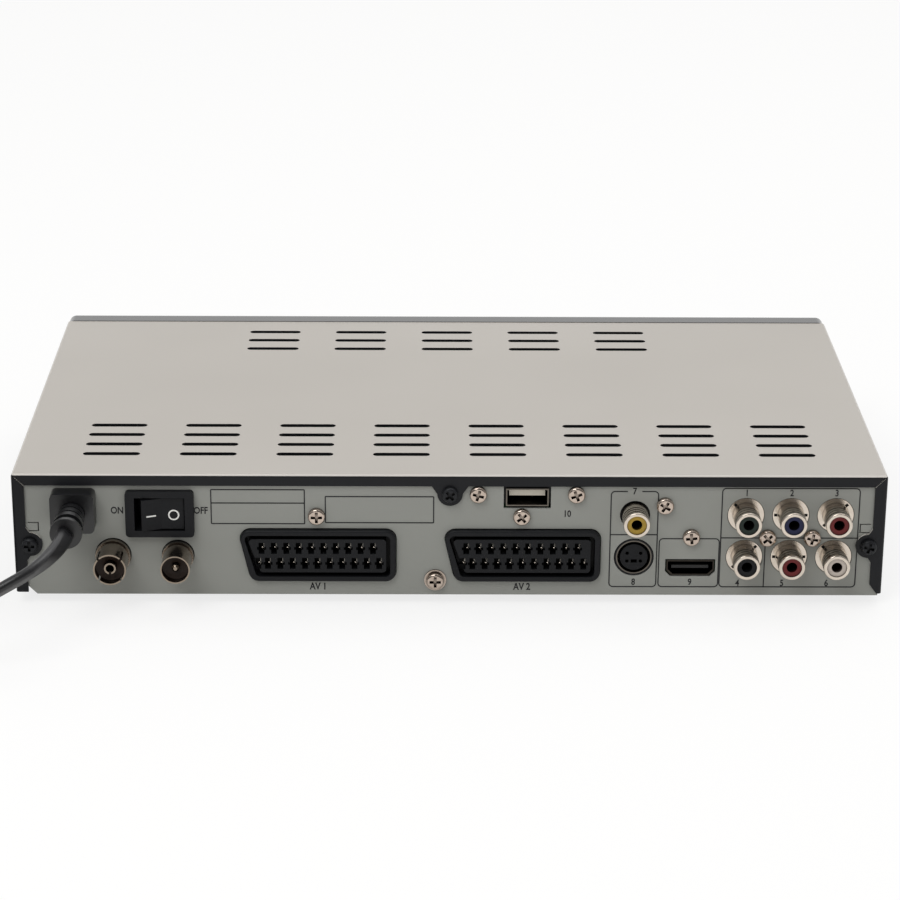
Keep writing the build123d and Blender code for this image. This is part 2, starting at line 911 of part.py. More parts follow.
def make_transformer():
    high = (board_top, board_top + transformer_height)
    core = on_board(power_x, power_y, transformer_share, transformer_width, transformer_depth, high)
    neck_high = (high[0] + transformer_core, high[1] - transformer_core)
    middle = place(power_y, transformer_share[1])
    winding_depth = (transformer_depth - transformer_core) / 2 + transformer_winding_inset
    for side in (-1, 1):
        edge = middle + side * transformer_depth / 2
        inner = edge - side * (winding_depth - transformer_winding_inset)
        start = edge + side * overrun
        core -= block(
            around(place(power_x, transformer_share[0]), transformer_width - 2 * transformer_winding_inset),
            (min(inner, start), max(inner, start)),
            neck_high,
        )
    return core


def make_mains_choke():
    low = (board_top, board_top + choke_base)
    high = (low[1], board_top + choke_height)
    foot = on_board(power_x, power_y, choke_share, choke_width, choke_depth, low)
    ring = on_board(power_x, power_y, choke_share, choke_width, choke_depth - 2 * choke_base, high)
    hole_x = place(power_x, choke_share[0])
    hole_z = (high[0] + high[1]) / 2
    hole_y = around(place(power_y, choke_share[1]), choke_depth + 2 * overrun)
    return foot + ring - bar(hole_x, hole_z, choke_base, hole_y)


def make_fuse():
    x = place(power_x, fuse_share[0])
    middle = place(power_y, fuse_share[1])
    axis_z = board_top + fuse_lift + fuse_radius
    fuse = bar(x, axis_z, fuse_radius, around(middle, fuse_length))
    for end in around(middle, fuse_length - fuse_clip):
        fuse += block(around(x, 2 * fuse_radius), around(end, fuse_clip), (board_top, axis_z))
    return fuse


def make_tuner_can():
    x = (antenna_in_place[0] - tuner_margin, antenna_out_place[0] + tuner_margin)
    y = (panel_in, panel_in + tuner_depth)
    z = (board_top, antenna_in_place[1] + tuner_rise)
    inner = [(span[0] + tuner_wall, span[1] - tuner_wall) for span in (x, y)]
    return block(x, y, z) - block(*inner, (z[0] - overrun, z[1] - tuner_wall))


# Rear sockets
def antenna_socket(spot, radius, bore, collar):
    """A coaxial shell, open to the rear, on a collar that stands in the wall."""
    shell = bar(*spot, radius, (panel_out - antenna_proud, panel_in))
    shell += bar(*spot, collar, (panel_out - antenna_collar_proud, panel_in))
    return shell - bar(*spot, bore, (panel_out - antenna_proud - overrun, panel_in - antenna_floor))


def make_antenna_in_socket():
    shell = antenna_socket(antenna_in_place, antenna_in_radius, antenna_in_bore, antenna_in_collar)
    x, z = antenna_in_place
    slit_depth = (panel_out - antenna_proud - overrun, panel_out - antenna_proud + antenna_slit_depth)
    reach = 2 * (antenna_in_radius + overrun)
    slits = block(around(0, antenna_slit), slit_depth, around(0, reach))
    slits += block(around(0, reach), slit_depth, around(0, antenna_slit))
    return shell - Pos(x, 0, z) * Rot(0, antenna_slit_turn, 0) * slits


def make_antenna_out_socket():
    return antenna_socket(antenna_out_place, antenna_out_radius, antenna_out_bore, antenna_out_collar)


def make_antenna_contacts():
    depth = (panel_out - antenna_proud + contact_setback, panel_in - antenna_floor)
    x, z = antenna_in_place
    spring = bar(x, z, contact_radius, depth)
    open_end = (depth[0] - overrun, depth[1] - antenna_floor)
    spring -= bar(x, z, contact_bore, open_end)
    spring -= block(around(x, contact_slit), open_end, (z - contact_radius - overrun, z))
    pin = bar(*antenna_out_place, pin_radius, depth)
    pin = chamfer(pin.edges().group_by(Axis.Y)[0], pin_radius / 2)
    return [spring, pin]


def contact_places():
    """Places of one socket's contacts about its middle: two staggered rows and one at the slanted end."""
    half = (av_contact_count - 1) * av_contact_pitch / 2
    places = []
    for row in (-1, 1):
        for number in range(av_contact_count):
            shift = number * av_contact_pitch - half - row * av_row_stagger / 2
            places.append((shift + av_row_shift, row * av_row_gap / 2))
    return places + [(places[0][0] - av_end_contact, -av_row_gap / 2)]


def make_av_socket(x):
    z = up(av_z_share)
    face = panel_out - av_proud
    inner_end = panel_in + av_body_depth
    body = plate(Pos(x, z) * av_outline(0), (face, inner_end))
    body = fillet(body.faces().sort_by(Axis.Y)[0].edges(), av_rim_round)
    under = (main_y[0] - fit_gap, inner_end + overrun)
    body -= block(around(x, av_width + 2 * overrun), under, (z - av_height, board_top))
    ear_top = up(av_screw_z_share) + av_ear_rise
    body += block(around(x, av_ear_width), (panel_in, panel_in + av_ear_depth), (z, ear_top))
    channel = av_outline(av_wall) - av_outline(av_wall + av_channel)
    body -= plate(Pos(x, z) * channel, (face - overrun, face + av_channel_depth))
    body -= plate(Pos(x, z) * av_outline(av_wall), (face - overrun, face + av_setback))
    slot = Rectangle(av_slot_width, av_slot_height)
    slots = repeated([Pos(*spot) for spot in contact_places()], slot)
    body -= plate(Pos(x, z) * slots, (face, face + av_setback + av_slot_depth))
    screw_hole = (panel_in, panel_in + av_ear_depth - overrun)
    return body - bar(x, up(av_screw_z_share), panel_shank_radius + screw_gap, screw_hole)


def make_av_contacts():
    blades = []
    face = panel_out - av_proud + av_setback
    depth = (face + av_slot_depth / 2, face + av_slot_depth)
    for x in av_places:
        for shift, lift in contact_places():
            side = x + shift + (av_slot_width - av_blade_thick) / 2
            height = around(up(av_z_share) + lift, av_slot_height - 2 * fit_gap)
            blades.append(block(around(side, av_blade_thick), depth, height))
    return blades


def make_data_socket():
    outline = Rectangle(data_width, data_height)
    hollow = Rectangle(data_width - 2 * data_wall, data_height - 2 * data_wall)
    back = panel_in + data_depth
    shell = plate(Pos(data_x, data_z) * outline, (panel_out, back))
    return shell - plate(Pos(data_x, data_z) * hollow, (panel_out - overrun, back - data_wall))


def make_data_bracket():
    z = up(data_screw_z_share)
    depth = (panel_in, panel_in + data_bracket_depth)
    width = data_screw_spread + 2 * data_bracket_end
    top = top_z - sheet - 2 * cover_gap
    bracket = block(around(data_x, width), depth, (top - data_bracket_height, top))
    pocket = Rectangle(data_width, data_height)
    bracket -= plate(Pos(data_x, data_z) * pocket, (panel_in - overrun, depth[1] + overrun))
    for side in (-1, 1):
        x = data_x + side * data_screw_spread / 2
        bracket -= bar(x, z, panel_shank_radius + screw_gap, (panel_in - overrun, depth[1] - overrun))
    return bracket


def make_digital_video_socket():
    depth = (panel_out, panel_in + digital_depth)
    x, z = digital_place
    shell = plate(Pos(x, z) * digital_outline(digital_width, digital_height, digital_bevel), depth)
    tab_top = up(digital_screw_z_share) + digital_tab_end
    tab_depth = (panel_in, panel_in + digital_tab_thick)
    shell += block(around(x, digital_tab_width), tab_depth, (z, tab_top))
    shell += block(around(x, digital_tab_width), (panel_in, depth[1]), (board_top, z))
    inner = (digital_width - 2 * digital_wall, digital_height - 2 * digital_wall)
    hollow = Pos(x, z) * digital_outline(*inner, digital_bevel)
    shell -= plate(hollow, (panel_out - overrun, depth[1] - digital_wall))
    hole = (panel_in - overrun, tab_depth[1] + overrun)
    return shell - bar(x, up(digital_screw_z_share), panel_shank_radius + screw_gap, hole)


def make_port_tongues():
    data_back = panel_in + data_depth - data_wall
    low = data_z + data_tongue_lift
    data_tongue = block(
        around(data_x, data_tongue_width),
        (panel_out + data_tongue_setback, data_back),
        around(low, data_tongue_height),
    )
    x, z = digital_place
    digital_back = panel_in + digital_depth - digital_wall
    digital_tongue = block(
        around(x, digital_tongue_width),
        (panel_out + digital_tongue_setback, digital_back),
        around(z, digital_tongue_height),
    )
    return [data_tongue, digital_tongue]


def din_pins():
    """Places of the four contacts about the round socket's middle."""
    return [(x, z) for x in around(0, din_pin_spread_x) for z in around(0, din_pin_spread_z)]


def make_video_jack_housing():
    x, z = din_place
    left = x - video_width / 2
    right = x + video_width / 2
    depth = (panel_in, panel_in + video_depth)
    top = video_place[1] + phono_margin
    body = block((left, right), depth, (board_top, top))
    ear_x, ear_z = across(video_screw_x_share), up(video_screw_z_share)
    ear_end = ear_x + video_ear_width / 2
    body += block((right, ear_end), (panel_in, panel_in + av_ear_depth), around(ear_z, video_ear_height))
    ear_hole = (panel_in - overrun, panel_in + av_ear_depth - overrun)
    body -= bar(ear_x, ear_z, panel_shank_radius + screw_gap, ear_hole)
    body += bar(x, z, din_face_radius, (panel_out, panel_in))
    groove_bottom = panel_out + din_groove_depth
    groove = Circle(din_shield_radius) - Circle(din_shield_radius - din_shield_wall - din_groove)
    body -= plate(Pos(x, z) * groove, (panel_out - overrun, groove_bottom))
    for shift, lift in din_pins():
        hole = (panel_out - overrun, panel_out + din_pin_depth)
        body -= bar(x + shift, z + lift, din_pin_radius, hole)
    key = Rectangle(din_key_width, din_key_height)
    key_z = z - din_pin_spread_z / 2
    return body - plate(Pos(x, key_z) * key, (panel_out - overrun, panel_out + din_pin_depth))


def make_mini_din_shield():
    x, z = din_place
    depth = (panel_out, panel_out + din_groove_depth)
    outer = bar(x, z, din_shield_radius, depth)
    return outer - bar(x, z, din_shield_radius - din_shield_wall, (depth[0] - overrun, depth[1] + overrun))


def make_phono_housing():
    depth = (panel_in, panel_in + phono_depth)
    wide = (phono_columns[0] - phono_margin, phono_columns[2] + phono_margin)
    body = block(wide, depth, (board_top, up(phono_high_z_share) + phono_margin))
    for spot in panel_screw_places[-2:]:
        hole = (panel_in - overrun, panel_in + panel_shank_length)
        body -= bar(*spot, panel_shank_radius + screw_gap, hole)
    return body


def phono_barrel(spot, flange_radius, turn):
    """A jack's metal sleeve, with grooves behind its rim and a slotted flange against the housing."""
    x, z = spot
    rim = panel_out - phono_proud
    barrel = bar(x, z, phono_radius, (rim, panel_in))
    barrel = fillet(barrel.edges().group_by(Axis.Y)[0], phono_rim_round)
    for number in range(phono_groove_count):
        start = rim + phono_groove_back + number * phono_groove_pitch
        groove = (start, start + phono_groove_width)
        barrel -= bar(x, z, phono_radius + overrun, groove) - bar(x, z, phono_radius - phono_groove, groove)
    if flange_radius > phono_radius:
        flange_depth = (panel_in - phono_flange_thick, panel_in)
        barrel += bar(x, z, flange_radius, flange_depth)
        for side in (-1, 1):
            notch = Pos(side * phono_notch_place, 0) * Rectangle(phono_notch_length, phono_notch_width)
            slot = Pos(x, z) * Rot(0, 0, turn) * notch
            barrel -= plate(slot, (flange_depth[0] - overrun, panel_in + overrun))
    return barrel - bar(x, z, phono_radius - phono_wall, (rim - overrun, panel_in + overrun))


def make_phono_barrels():
    jacks = zip(phono_jacks.values(), phono_notch_turns)
    barrels = [phono_barrel(spot, phono_flange_radius, turn) for spot, turn in jacks]
    return barrels + [phono_barrel(video_place, 0, 0)]


def phono_insert(spot):
    """A jack's coloured insulator, with the hole for the plug's pin."""
    x, z = spot
    depth = (panel_out - phono_proud + phono_setback, panel_in)
    sleeve = bar(x, z, phono_radius - phono_wall, depth)
    return sleeve - bar(x, z, phono_bore, (depth[0] - overrun, depth[1] - phono_setback))


# Mains switch
def make_switch_housing():
    x, z = switch_place
    bezel = RectangleRounded(switch_bezel_width, switch_bezel_height, switch_bezel_round)
    back = panel_in + switch_body_depth
    face = panel_out - switch_bezel_proud
    body = plate(Pos(x, z) * bezel, (face, panel_out))
    body += plate(Pos(x, z) * Rectangle(switch_body_width, switch_body_height), (panel_out, back))
    well = Rectangle(switch_well_width, switch_well_height)
    body -= plate(Pos(x, z) * well, (face - overrun, back - switch_floor))
    stub = rocker_height / 2 + rocker_stub_reach + fit_gap
    pivot_y = panel_out + rocker_pivot_depth
    return body - post(x, pivot_y, rocker_stub_radius + rocker_stub_gap, around(z, 2 * stub))


def make_switch_rocker():
    half = rocker_width / 2
    rise = half * tan(radians(rocker_half_angle))
    valley = -(rocker_pivot_depth + rocker_valley)
    face = Polygon(
        (-half, valley - rise),
        (0, valley),
        (half, valley - rise),
        (half, valley - rise + rocker_wing),
        (0, valley + rocker_wing),
        (-half, valley - rise + rocker_wing),
        align=None,
    )
    keel = Polygon(
        (-rocker_keel, valley + rocker_wing / 2),
        (rocker_keel, valley + rocker_wing / 2),
        (rocker_keel, 0),
        (-rocker_keel, 0),
        align=None,
    )
    profile = face + keel + Circle(rocker_keel)
    x, z = switch_place
    body = extrude(Pos(0, 0, -rocker_height / 2) * profile, rocker_height)
    reach = rocker_height / 2 + rocker_stub_reach
    body += post(0, 0, rocker_stub_radius, (-reach, reach))
    return Pos(x, panel_out + rocker_pivot_depth, z) * Rot(0, 0, rocker_half_angle) * body


def make_switch_terminals():
    x, z = switch_place
    back = panel_in + switch_body_depth
    tabs = []
    for tab_x in around(x, terminal_spread_x):
        for tab_z in around(z, terminal_spread_z):
            depth = (back, back + terminal_length)
            tabs.append(block(around(tab_x, terminal_thick), depth, around(tab_z, terminal_width)))
    return tabs


def wire(points):
    """An insulated wire along straight runs and tangent arcs."""
    path = FilletPolyline(*points, radius=wire_bend)
    start = path @ 0
    section = Plane(origin=start, z_dir=path % 0) * Circle(wire_radius)
    return sweep(section, path=path)


def make_internal_wires():
    x, z = switch_place
    tab_y = panel_in + switch_body_depth + terminal_length / 2
    left = x - terminal_spread_x / 2 - terminal_thick / 2
    right = x + terminal_spread_x / 2 + terminal_thick / 2
    grip_x = grip_place[0]
    grip_back = panel_in + grip_inside
    far = right + wire_side_run
    landing = power_y[0] + wire_board_inset
    wires = []
    for tab_z in around(z, terminal_spread_z):
        wires.append(wire([(grip_x, grip_back, tab_z), (grip_x, tab_y, tab_z), (left, tab_y, tab_z)]))
        drop_y = landing + (tab_z - z)
        side_run = [(right, tab_y, tab_z), (far, tab_y, tab_z)]
        wires.append(wire(side_run + [(far, drop_y, tab_z), (far, drop_y, board_top)]))
    return wires


# Mains lead
def make_cord_grip():
    x, z = grip_place
    face = panel_out - grip_proud
    body = RectangleRounded(grip_width, grip_height, grip_round)
    neck = Rectangle(grip_width - 2 * grip_neck, grip_height - 2 * grip_neck)
    grip = plate(Pos(x, z) * body, (face, panel_out))
    grip += plate(Pos(x, z) * neck, (panel_out, panel_in))
    grip += plate(Pos(x, z) * body, (panel_in, panel_in + grip_inside))
    core = Cone(boot_root_radius, boot_tip_radius, boot_length)
    grip += Pos(x, face - boot_length / 2, z) * Rot(90, 0, 0) * core
    step = boot_length / (boot_rib_count + 1)
    for number in range(boot_rib_count):
        share = number / (boot_rib_count - 1)
        radius = boot_rib_root_radius + share * (boot_rib_tip_radius - boot_rib_root_radius)
        middle = face - (number + 1 / 2) * step
        grip += bar(x, z, radius, around(middle, boot_rib_thick))
    return grip + bar(x, z, boot_disc_radius, (boot_end, boot_end + boot_disc_thick))


def lead_points():
    """The lead's free stretch, from the boot's end to the coil."""
    x, z = grip_place
    straight = [Vector(x, boot_end, z), Vector(x, boot_end - cord_straight, z)]
    return straight + [Vector(x, rear + y, z) for x, y, z in cord_route]


def make_mains_cord():
    points = lead_points()
    radii = []
    for before, here, after in zip(points, points[1:], points[2:]):
        turn = (here - before).get_angle(after - here)
        shorter = min((here - before).length, (after - here).length)
        radii.append(cord_arc_share * shorter / tan(radians(turn / 2)))
    print("lead radii", [round(radius, 1) for radius in radii])
    path = FilletPolyline(*points, radius=radii)
    section = Plane(origin=points[0], z_dir=path % 0) * Circle(cord_width / 2)
    tube = sweep(section, path=path)
    share = tube.volume / (path.length * pi * (cord_width / 2) ** 2)
    print("lead length", round(path.length, 1), "volume share", round(share, 4))
    return tube


coil_start = lead_points()[-1]
coil_turns = coil_layers * coil_layer_turns
coil_across = coil_across_share * cord_width
coil_pitch = cord_width + coil_turn_gap
coil_outer = coil_across / 2 + coil_pitch * coil_layer_turns / 2
coil_middle = (coil_start.X - cord_width, coil_start.Y + coil_outer)
coil_low = cord_width / 2 + coil_lift


def coil_point(turn):
    """A point of the coil's centre line: inwards on the floor, up a layer, then outwards."""
    half = coil_turns / 2
    radius = coil_outer - coil_pitch * min(turn, coil_turns - turn)
    climb = min(max((turn - half) * 2 + 1 / 2, 0), 1)
    climb = climb * climb * (3 - 2 * climb)
    angle = -pi / 2 - 2 * pi * turn
    x = coil_middle[0] + radius * cos(angle)
    return Vector(x, coil_middle[1] + radius * sin(angle), coil_low + climb * coil_pitch)


def biarc(start, start_way, end, end_way):
    """Two tangent arcs from one point and direction to another."""
    gap = end - start
    ways = start_way + end_way
    spread = 2 * (1 - start_way.dot(end_way))
    along = gap.dot(ways)
    if start_way == end_way:
        reach = gap.dot(gap) / (2 * along)
    else:
        reach = (sqrt(along * along + spread * gap.dot(gap)) - along) / spread
    knee = start + start_way * reach
    joint_way = (end - end_way * reach - knee).normalized()
    joint = knee + joint_way * reach
    return [TangentArc(start, joint, tangent=start_way), TangentArc(joint, end, tangent=joint_way)]


def coil_path():
    """Centre line of the coil and its tail to the plug, with a straight end at each side."""
    steps = round(4 * coil_turns)
    nudge = 1 / 1000
    ways = []
    for number in range(steps + 1):
        turn = number / 4
        ways.append((coil_point(turn + nudge) - coil_point(turn - nudge)).normalized())
    ways[0] = Vector(-1, 0, 0)
    last = ways[-1]
    ways[-1] = Vector(last.X, last.Y, 0).normalized()
    points = [coil_point(number / 4) for number in range(steps + 1)]
    edges = [Line(points[0] - ways[0] * cord_width, points[0])]
    for number in range(steps):
        edges += biarc(points[number], ways[number], points[number + 1], ways[number + 1])
    way = ways[-1]
    landing = points[-1] + way * coil_tail
    landing = Vector(landing.X, landing.Y, plug_thick / 2)
    edges += biarc(points[-1], way, landing, way)
    end = landing + way * cord_width
    edges.append(Line(landing, end))
    return Wire(edges), end, way


def coil_gap(path):
    """Least gap between the coil's turns, measured on points of its centre line."""
    count = round(path.length / (cord_width / 3))
    spots = [path.position_at(number / count) for number in range(count + 1)]
    apart = round(pi * coil_across / 2 / (path.length / count))
    nearest = min(
        (spots[first] - spots[second]).length
        for first in range(len(spots))
        for second in range(first + apart, len(spots))
    )
    return nearest - cord_width


coil_line, coil_end, coil_way = coil_path()


def make_cord_coil():
    start = coil_line.position_at(0)
    section = Plane(origin=start, z_dir=Vector(-1, 0, 0)) * Circle(cord_width / 2)
    tube = sweep(section, path=coil_line)
    share = tube.volume / (coil_line.length * pi * (cord_width / 2) ** 2)
    print("coil length", round(coil_line.length, 1), "volume share", round(share, 4))
    print("coil least gap", round(coil_gap(coil_line), 2))
    return tube


def make_cord_tie():
    inner = coil_outer - coil_pitch * coil_turns / 2 - cord_width / 2 - tie_gap
    outer = coil_outer + cord_width / 2 + tie_gap
    low = coil_low - cord_width / 2 - tie_gap
    high = coil_low + coil_pitch + cord_width / 2 + tie_gap
    y = around(coil_middle[1], tie_band)
    near = coil_middle[0] + inner
    far = coil_middle[0] + outer
    band = block((near - tie_thick, far + tie_thick), y, (low - tie_thick, high + tie_thick))
    band = fillet(band.edges().filter_by(Axis.Y), cord_width / 2)
    hollow = block((near, far), y, (low, high))
    return band - fillet(hollow.edges().filter_by(Axis.Y), cord_width / 2 - tie_thick)


def plug_frame(shape):
    """Stands a plug drawn along +X, with its cord end at zero, at the coil's end."""
    angle = Vector(1, 0, 0).get_signed_angle(coil_way, Vector(0, 0, 1))
    return Pos(coil_end.X, coil_end.Y, coil_end.Z) * Rot(0, 0, angle) * shape


def make_mains_plug():
    nose = plug_length * plug_nose_share
    outline = Polygon(
        (0, -plug_neck_width / 2),
        (plug_length - nose, -plug_width / 2),
        (plug_length, -plug_width / 2),
        (plug_length, plug_width / 2),
        (plug_length - nose, plug_width / 2),
        (0, plug_neck_width / 2),
        align=None,
    )
    body = extrude(Pos(0, 0, -plug_thick / 2) * outline, plug_thick)
    body = fillet(body.edges().filter_by(Axis.Z), plug_round)
    return plug_frame(body)


def make_plug_pins():
    pins = []
    for side in (-1, 1):
        pin = Rot(0, 90, 0) * Cylinder(plug_pin_radius, plug_pin_length)
        pin = chamfer(pin.edges().group_by(Axis.X)[-1], plug_pin_radius / 2)
        at = Pos(plug_length + plug_pin_length / 2, side * plug_pin_spread / 2, 0)
        pins.append(plug_frame(at * pin))
    return pins


nodes = {
    "top_cover": make_top_cover(),
    "chassis": make_chassis(),
    "feet": make_feet(),
    "cover_screws": make_cover_screws(),
    "panel_screws": make_panel_screws(),
    "board_screws": make_board_screws(),
    "earth_lug": make_earth_lug(),
    "front_panel": make_front_panel(),
    "display_window": make_display_window(),
    "tact_switches": make_tact_switches(),
    "front_board": make_front_board(),
    "display_module": make_display_module(),
    "ir_receiver": make_ir_receiver(),
    "ribbon_cable": make_ribbon_cable(),
    "main_board": make_floor_board(main_x, main_y),
    "power_board": make_floor_board(power_x, power_y),
    "chips": make_chips(),
    "heatsinks": make_heatsinks(),
    "capacitors": make_capacitors(),
    "transformer": make_transformer(),
    "mains_choke": make_mains_choke(),
    "fuse": make_fuse(),
    "tuner_can": make_tuner_can(),
    "antenna_in_socket": make_antenna_in_socket(),
    "antenna_out_socket": make_antenna_out_socket(),
    "antenna_contacts": make_antenna_contacts(),
    "av_socket_left": make_av_socket(av_places[0]),
    "av_socket_right": make_av_socket(av_places[1]),
    "av_contacts": make_av_contacts(),
    "data_socket": make_data_socket(),
    "data_bracket": make_data_bracket(),
    "digital_video_socket": make_digital_video_socket(),
    "port_tongues": make_port_tongues(),
    "video_jack_housing": make_video_jack_housing(),
    "mini_din_shield": make_mini_din_shield(),
    "phono_housing": make_phono_housing(),
    "phono_barrels": make_phono_barrels(),
    "phono_insert_yellow": phono_insert(video_place),
    "phono_inserts_red": [phono_insert(phono_jacks["red_high"]), phono_insert(phono_jacks["red_low"])],
    "switch_housing": make_switch_housing(),
    "switch_rocker": make_switch_rocker(),
    "switch_terminals": make_switch_terminals(),
    "internal_wires": make_internal_wires(),
    "cord_grip": make_cord_grip(),
    "mains_cord": make_mains_cord(),
    "cord_coil": make_cord_coil(),
    "cord_tie": make_cord_tie(),
    "mains_plug": make_mains_plug(),
    "plug_pins": make_plug_pins(),
}
for button in buttons:
    nodes[button + "_button"] = make_button(button)
    nodes[button + "_plunger"] = make_plunger(button)
for colour in ("green", "blue", "black", "white"):
    nodes["phono_insert_" + colour] = phono_insert(phono_jacks[colour])

os.makedirs("parts", exist_ok=True)
for name, shape in nodes.items():
    solids = shape if isinstance(shape, list) else [shape]
    whole = solids[0] if len(solids) == 1 else Compound(children=solids)
    whole.label = name
    export_step(whole, "parts/" + name + ".step")
print(len(nodes), "nodes")
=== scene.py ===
import json
from math import cos, pi, radians, sin

import bmesh
import bpy
from mathutils import Matrix, Vector


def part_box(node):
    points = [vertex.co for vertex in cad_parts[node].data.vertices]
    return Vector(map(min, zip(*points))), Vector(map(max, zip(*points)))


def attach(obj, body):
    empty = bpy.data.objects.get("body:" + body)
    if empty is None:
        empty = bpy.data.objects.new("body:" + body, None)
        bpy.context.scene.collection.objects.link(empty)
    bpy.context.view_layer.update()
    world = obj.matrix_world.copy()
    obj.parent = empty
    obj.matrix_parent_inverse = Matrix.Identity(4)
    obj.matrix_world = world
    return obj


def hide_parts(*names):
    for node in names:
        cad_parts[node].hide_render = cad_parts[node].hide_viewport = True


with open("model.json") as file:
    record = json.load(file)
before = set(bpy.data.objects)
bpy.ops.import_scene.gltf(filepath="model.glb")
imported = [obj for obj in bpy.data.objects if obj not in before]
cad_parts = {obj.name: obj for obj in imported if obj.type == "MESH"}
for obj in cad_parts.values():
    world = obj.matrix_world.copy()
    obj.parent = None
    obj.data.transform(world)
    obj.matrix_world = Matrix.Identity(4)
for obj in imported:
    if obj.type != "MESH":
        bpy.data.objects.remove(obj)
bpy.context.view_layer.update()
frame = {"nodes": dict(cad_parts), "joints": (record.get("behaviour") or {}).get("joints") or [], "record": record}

# Looks of a recording set-top box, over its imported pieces. Metres, +Z up, the rear wall faces -Y.
nodes = frame["nodes"]
MM = 0.001

# Planes and places taken from the frame
wall_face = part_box("chassis")[0].y
base_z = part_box("chassis")[0].z
boot_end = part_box("cord_grip")[0].y
grip_low, grip_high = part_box("cord_grip")
grip_x = (grip_low.x + grip_high.x) / 2
grip_z = (grip_low.z + grip_high.z) / 2
cover_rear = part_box("top_cover")[0].y

# Camera at the photograph's viewing angle, placed from the cover's rear plane
camera_place = (-0.008633, cover_rear - 0.804519, 0.356945)
camera_lens = 113.27
camera_sensor = 36
camera_pitch = 0.363137
camera_yaw = 0.0105953
camera_roll = -0.00633077


def make_camera():
    data = bpy.data.cameras.new("camera")
    data.lens = camera_lens
    data.sensor_width = camera_sensor
    level = cos(camera_pitch)
    forward = Vector((sin(camera_yaw) * level, cos(camera_yaw) * level, -sin(camera_pitch)))
    side = Vector((cos(camera_yaw), -sin(camera_yaw), 0))
    up = side.cross(forward)
    right = cos(camera_roll) * side - sin(camera_roll) * up
    above = sin(camera_roll) * side + cos(camera_roll) * up
    turn = Matrix((right, above, -forward)).transposed().to_4x4()
    camera = bpy.data.objects.new("camera", data)
    camera.matrix_world = Matrix.Translation(camera_place) @ turn
    bpy.context.scene.collection.objects.link(camera)
    bpy.context.scene.camera = camera


# Small helpers
def colour(code):
    """An sRGB hex colour as linear RGBA."""
    parts = [int(code[n : n + 2], 16) / 255 for n in (0, 2, 4)]
    linear = [p / 12.92 if p <= 0.04045 else ((p + 0.055) / 1.055) ** 2.4 for p in parts]
    return (*linear, 1)


def per_metre(millimetres):
    """A texture scale whose features are that many millimetres across."""
    return 1 / (millimetres * MM)


def add(tree, kind, settings=None, inputs=None):
    """Adds a node, sets its properties, and gives its inputs values or links."""
    made = tree.nodes.new(kind)
    for name, value in (settings or {}).items():
        setattr(made, name, value)
    for name, value in (inputs or {}).items():
        if isinstance(value, bpy.types.NodeSocket):
            tree.links.new(value, made.inputs[name])
        else:
            made.inputs[name].default_value = value
    return made


def blank_material(name):
    """A material with only its output node."""
    material = bpy.data.materials.new(name)
    material.use_nodes = True
    material.node_tree.nodes.clear()
    return material, material.node_tree


def close_material(tree, shader):
    add(tree, "ShaderNodeOutputMaterial", None, {"Surface": shader})


def close_principled(tree, values):
    close_material(tree, add(tree, "ShaderNodeBsdfPrincipled", None, values).outputs["BSDF"])


def object_place(tree):
    return add(tree, "ShaderNodeTexCoord").outputs["Object"]


# Sockets of a Mix node in its colour mode, which share their names with those of its other modes
mix_first, mix_second, mix_result = 6, 7, 2


def blend(tree, share, first, second):
    """A colour between two by a share, each given as an sRGB hex colour or a link."""
    first, second = (colour(tone) if isinstance(tone, str) else tone for tone in (first, second))
    values = {"Factor": share, mix_first: first, mix_second: second}
    return add(tree, "ShaderNodeMix", {"data_type": "RGBA"}, values).outputs[mix_result]


def mapped(tree, value, source=(0, 1), target=(0, 1), settings=None):
    """A value carried from one range to another."""
    ends = {"From Min": source[0], "From Max": source[1], "To Min": target[0], "To Max": target[1]}
    return add(tree, "ShaderNodeMapRange", settings, {"Value": value, **ends}).outputs["Result"]


def noise(tree, place, size, detail, roughness=0.5):
    """A noise whose features are that many millimetres across."""
    values = {"Vector": place, "Scale": per_metre(size), "Detail": detail, "Roughness": roughness}
    return add(tree, "ShaderNodeTexNoise", None, values).outputs["Fac"]


def relief(tree, height, depth):
    """A normal from a height of 0 to 1, that many millimetres deep."""
    values = {"Height": height, "Distance": depth * MM}
    return add(tree, "ShaderNodeBump", None, values).outputs["Normal"]


# Painted shade in recesses: rays for each point, and the open share under which the painted shade is full
pit_samples = 8
pit_full_share = 0.3


def shade_pits(tree, tone, pit):
    """Paints shade into a tone in recesses: pit is the colour of the painted shade, a reach in millimetres
    and the open share from which the tone has no painted shade.
    """
    shade, reach, unshaded_share = pit
    open_air = add(tree, "ShaderNodeAmbientOcclusion", {"samples": pit_samples}, {"Distance": reach * MM})
    eased = {"interpolation_type": "SMOOTHSTEP"}
    share = mapped(tree, open_air.outputs["AO"], (pit_full_share, unshaded_share), settings=eased)
    return blend(tree, share, shade, tone)


# Surfaces: the make-up of their patches and grain, and how far the roughness drifts with the patches
patch_detail = 4
patch_roughness = 0.6
grain_detail = 2
gloss_drift = 0.15


def surface(name, dark, light, roughness, patch, grain, depth, metallic=0, shader=None, pit=None):
    """A surface whose tone drifts between two colours over patches, with a fine grain.

    patch and grain are sizes in millimetres, depth is the grain's height in millimetres,
    shader holds further values of the Principled shader, and pit is for shade_pits.
    """
    material, tree = blank_material(name)
    place = object_place(tree)
    drift = noise(tree, place, patch, patch_detail, patch_roughness)
    tone = blend(tree, drift, dark, light)
    values = {
        "Base Color": shade_pits(tree, tone, pit) if pit else tone,
        "Roughness": mapped(
            tree, drift, target=(roughness * (1 - gloss_drift), roughness * (1 + gloss_drift))
        ),
        "Normal": relief(tree, noise(tree, place, grain, grain_detail), depth),
        "Metallic": metallic,
    }
    close_principled(tree, {**values, **(shader or {})})
    return material


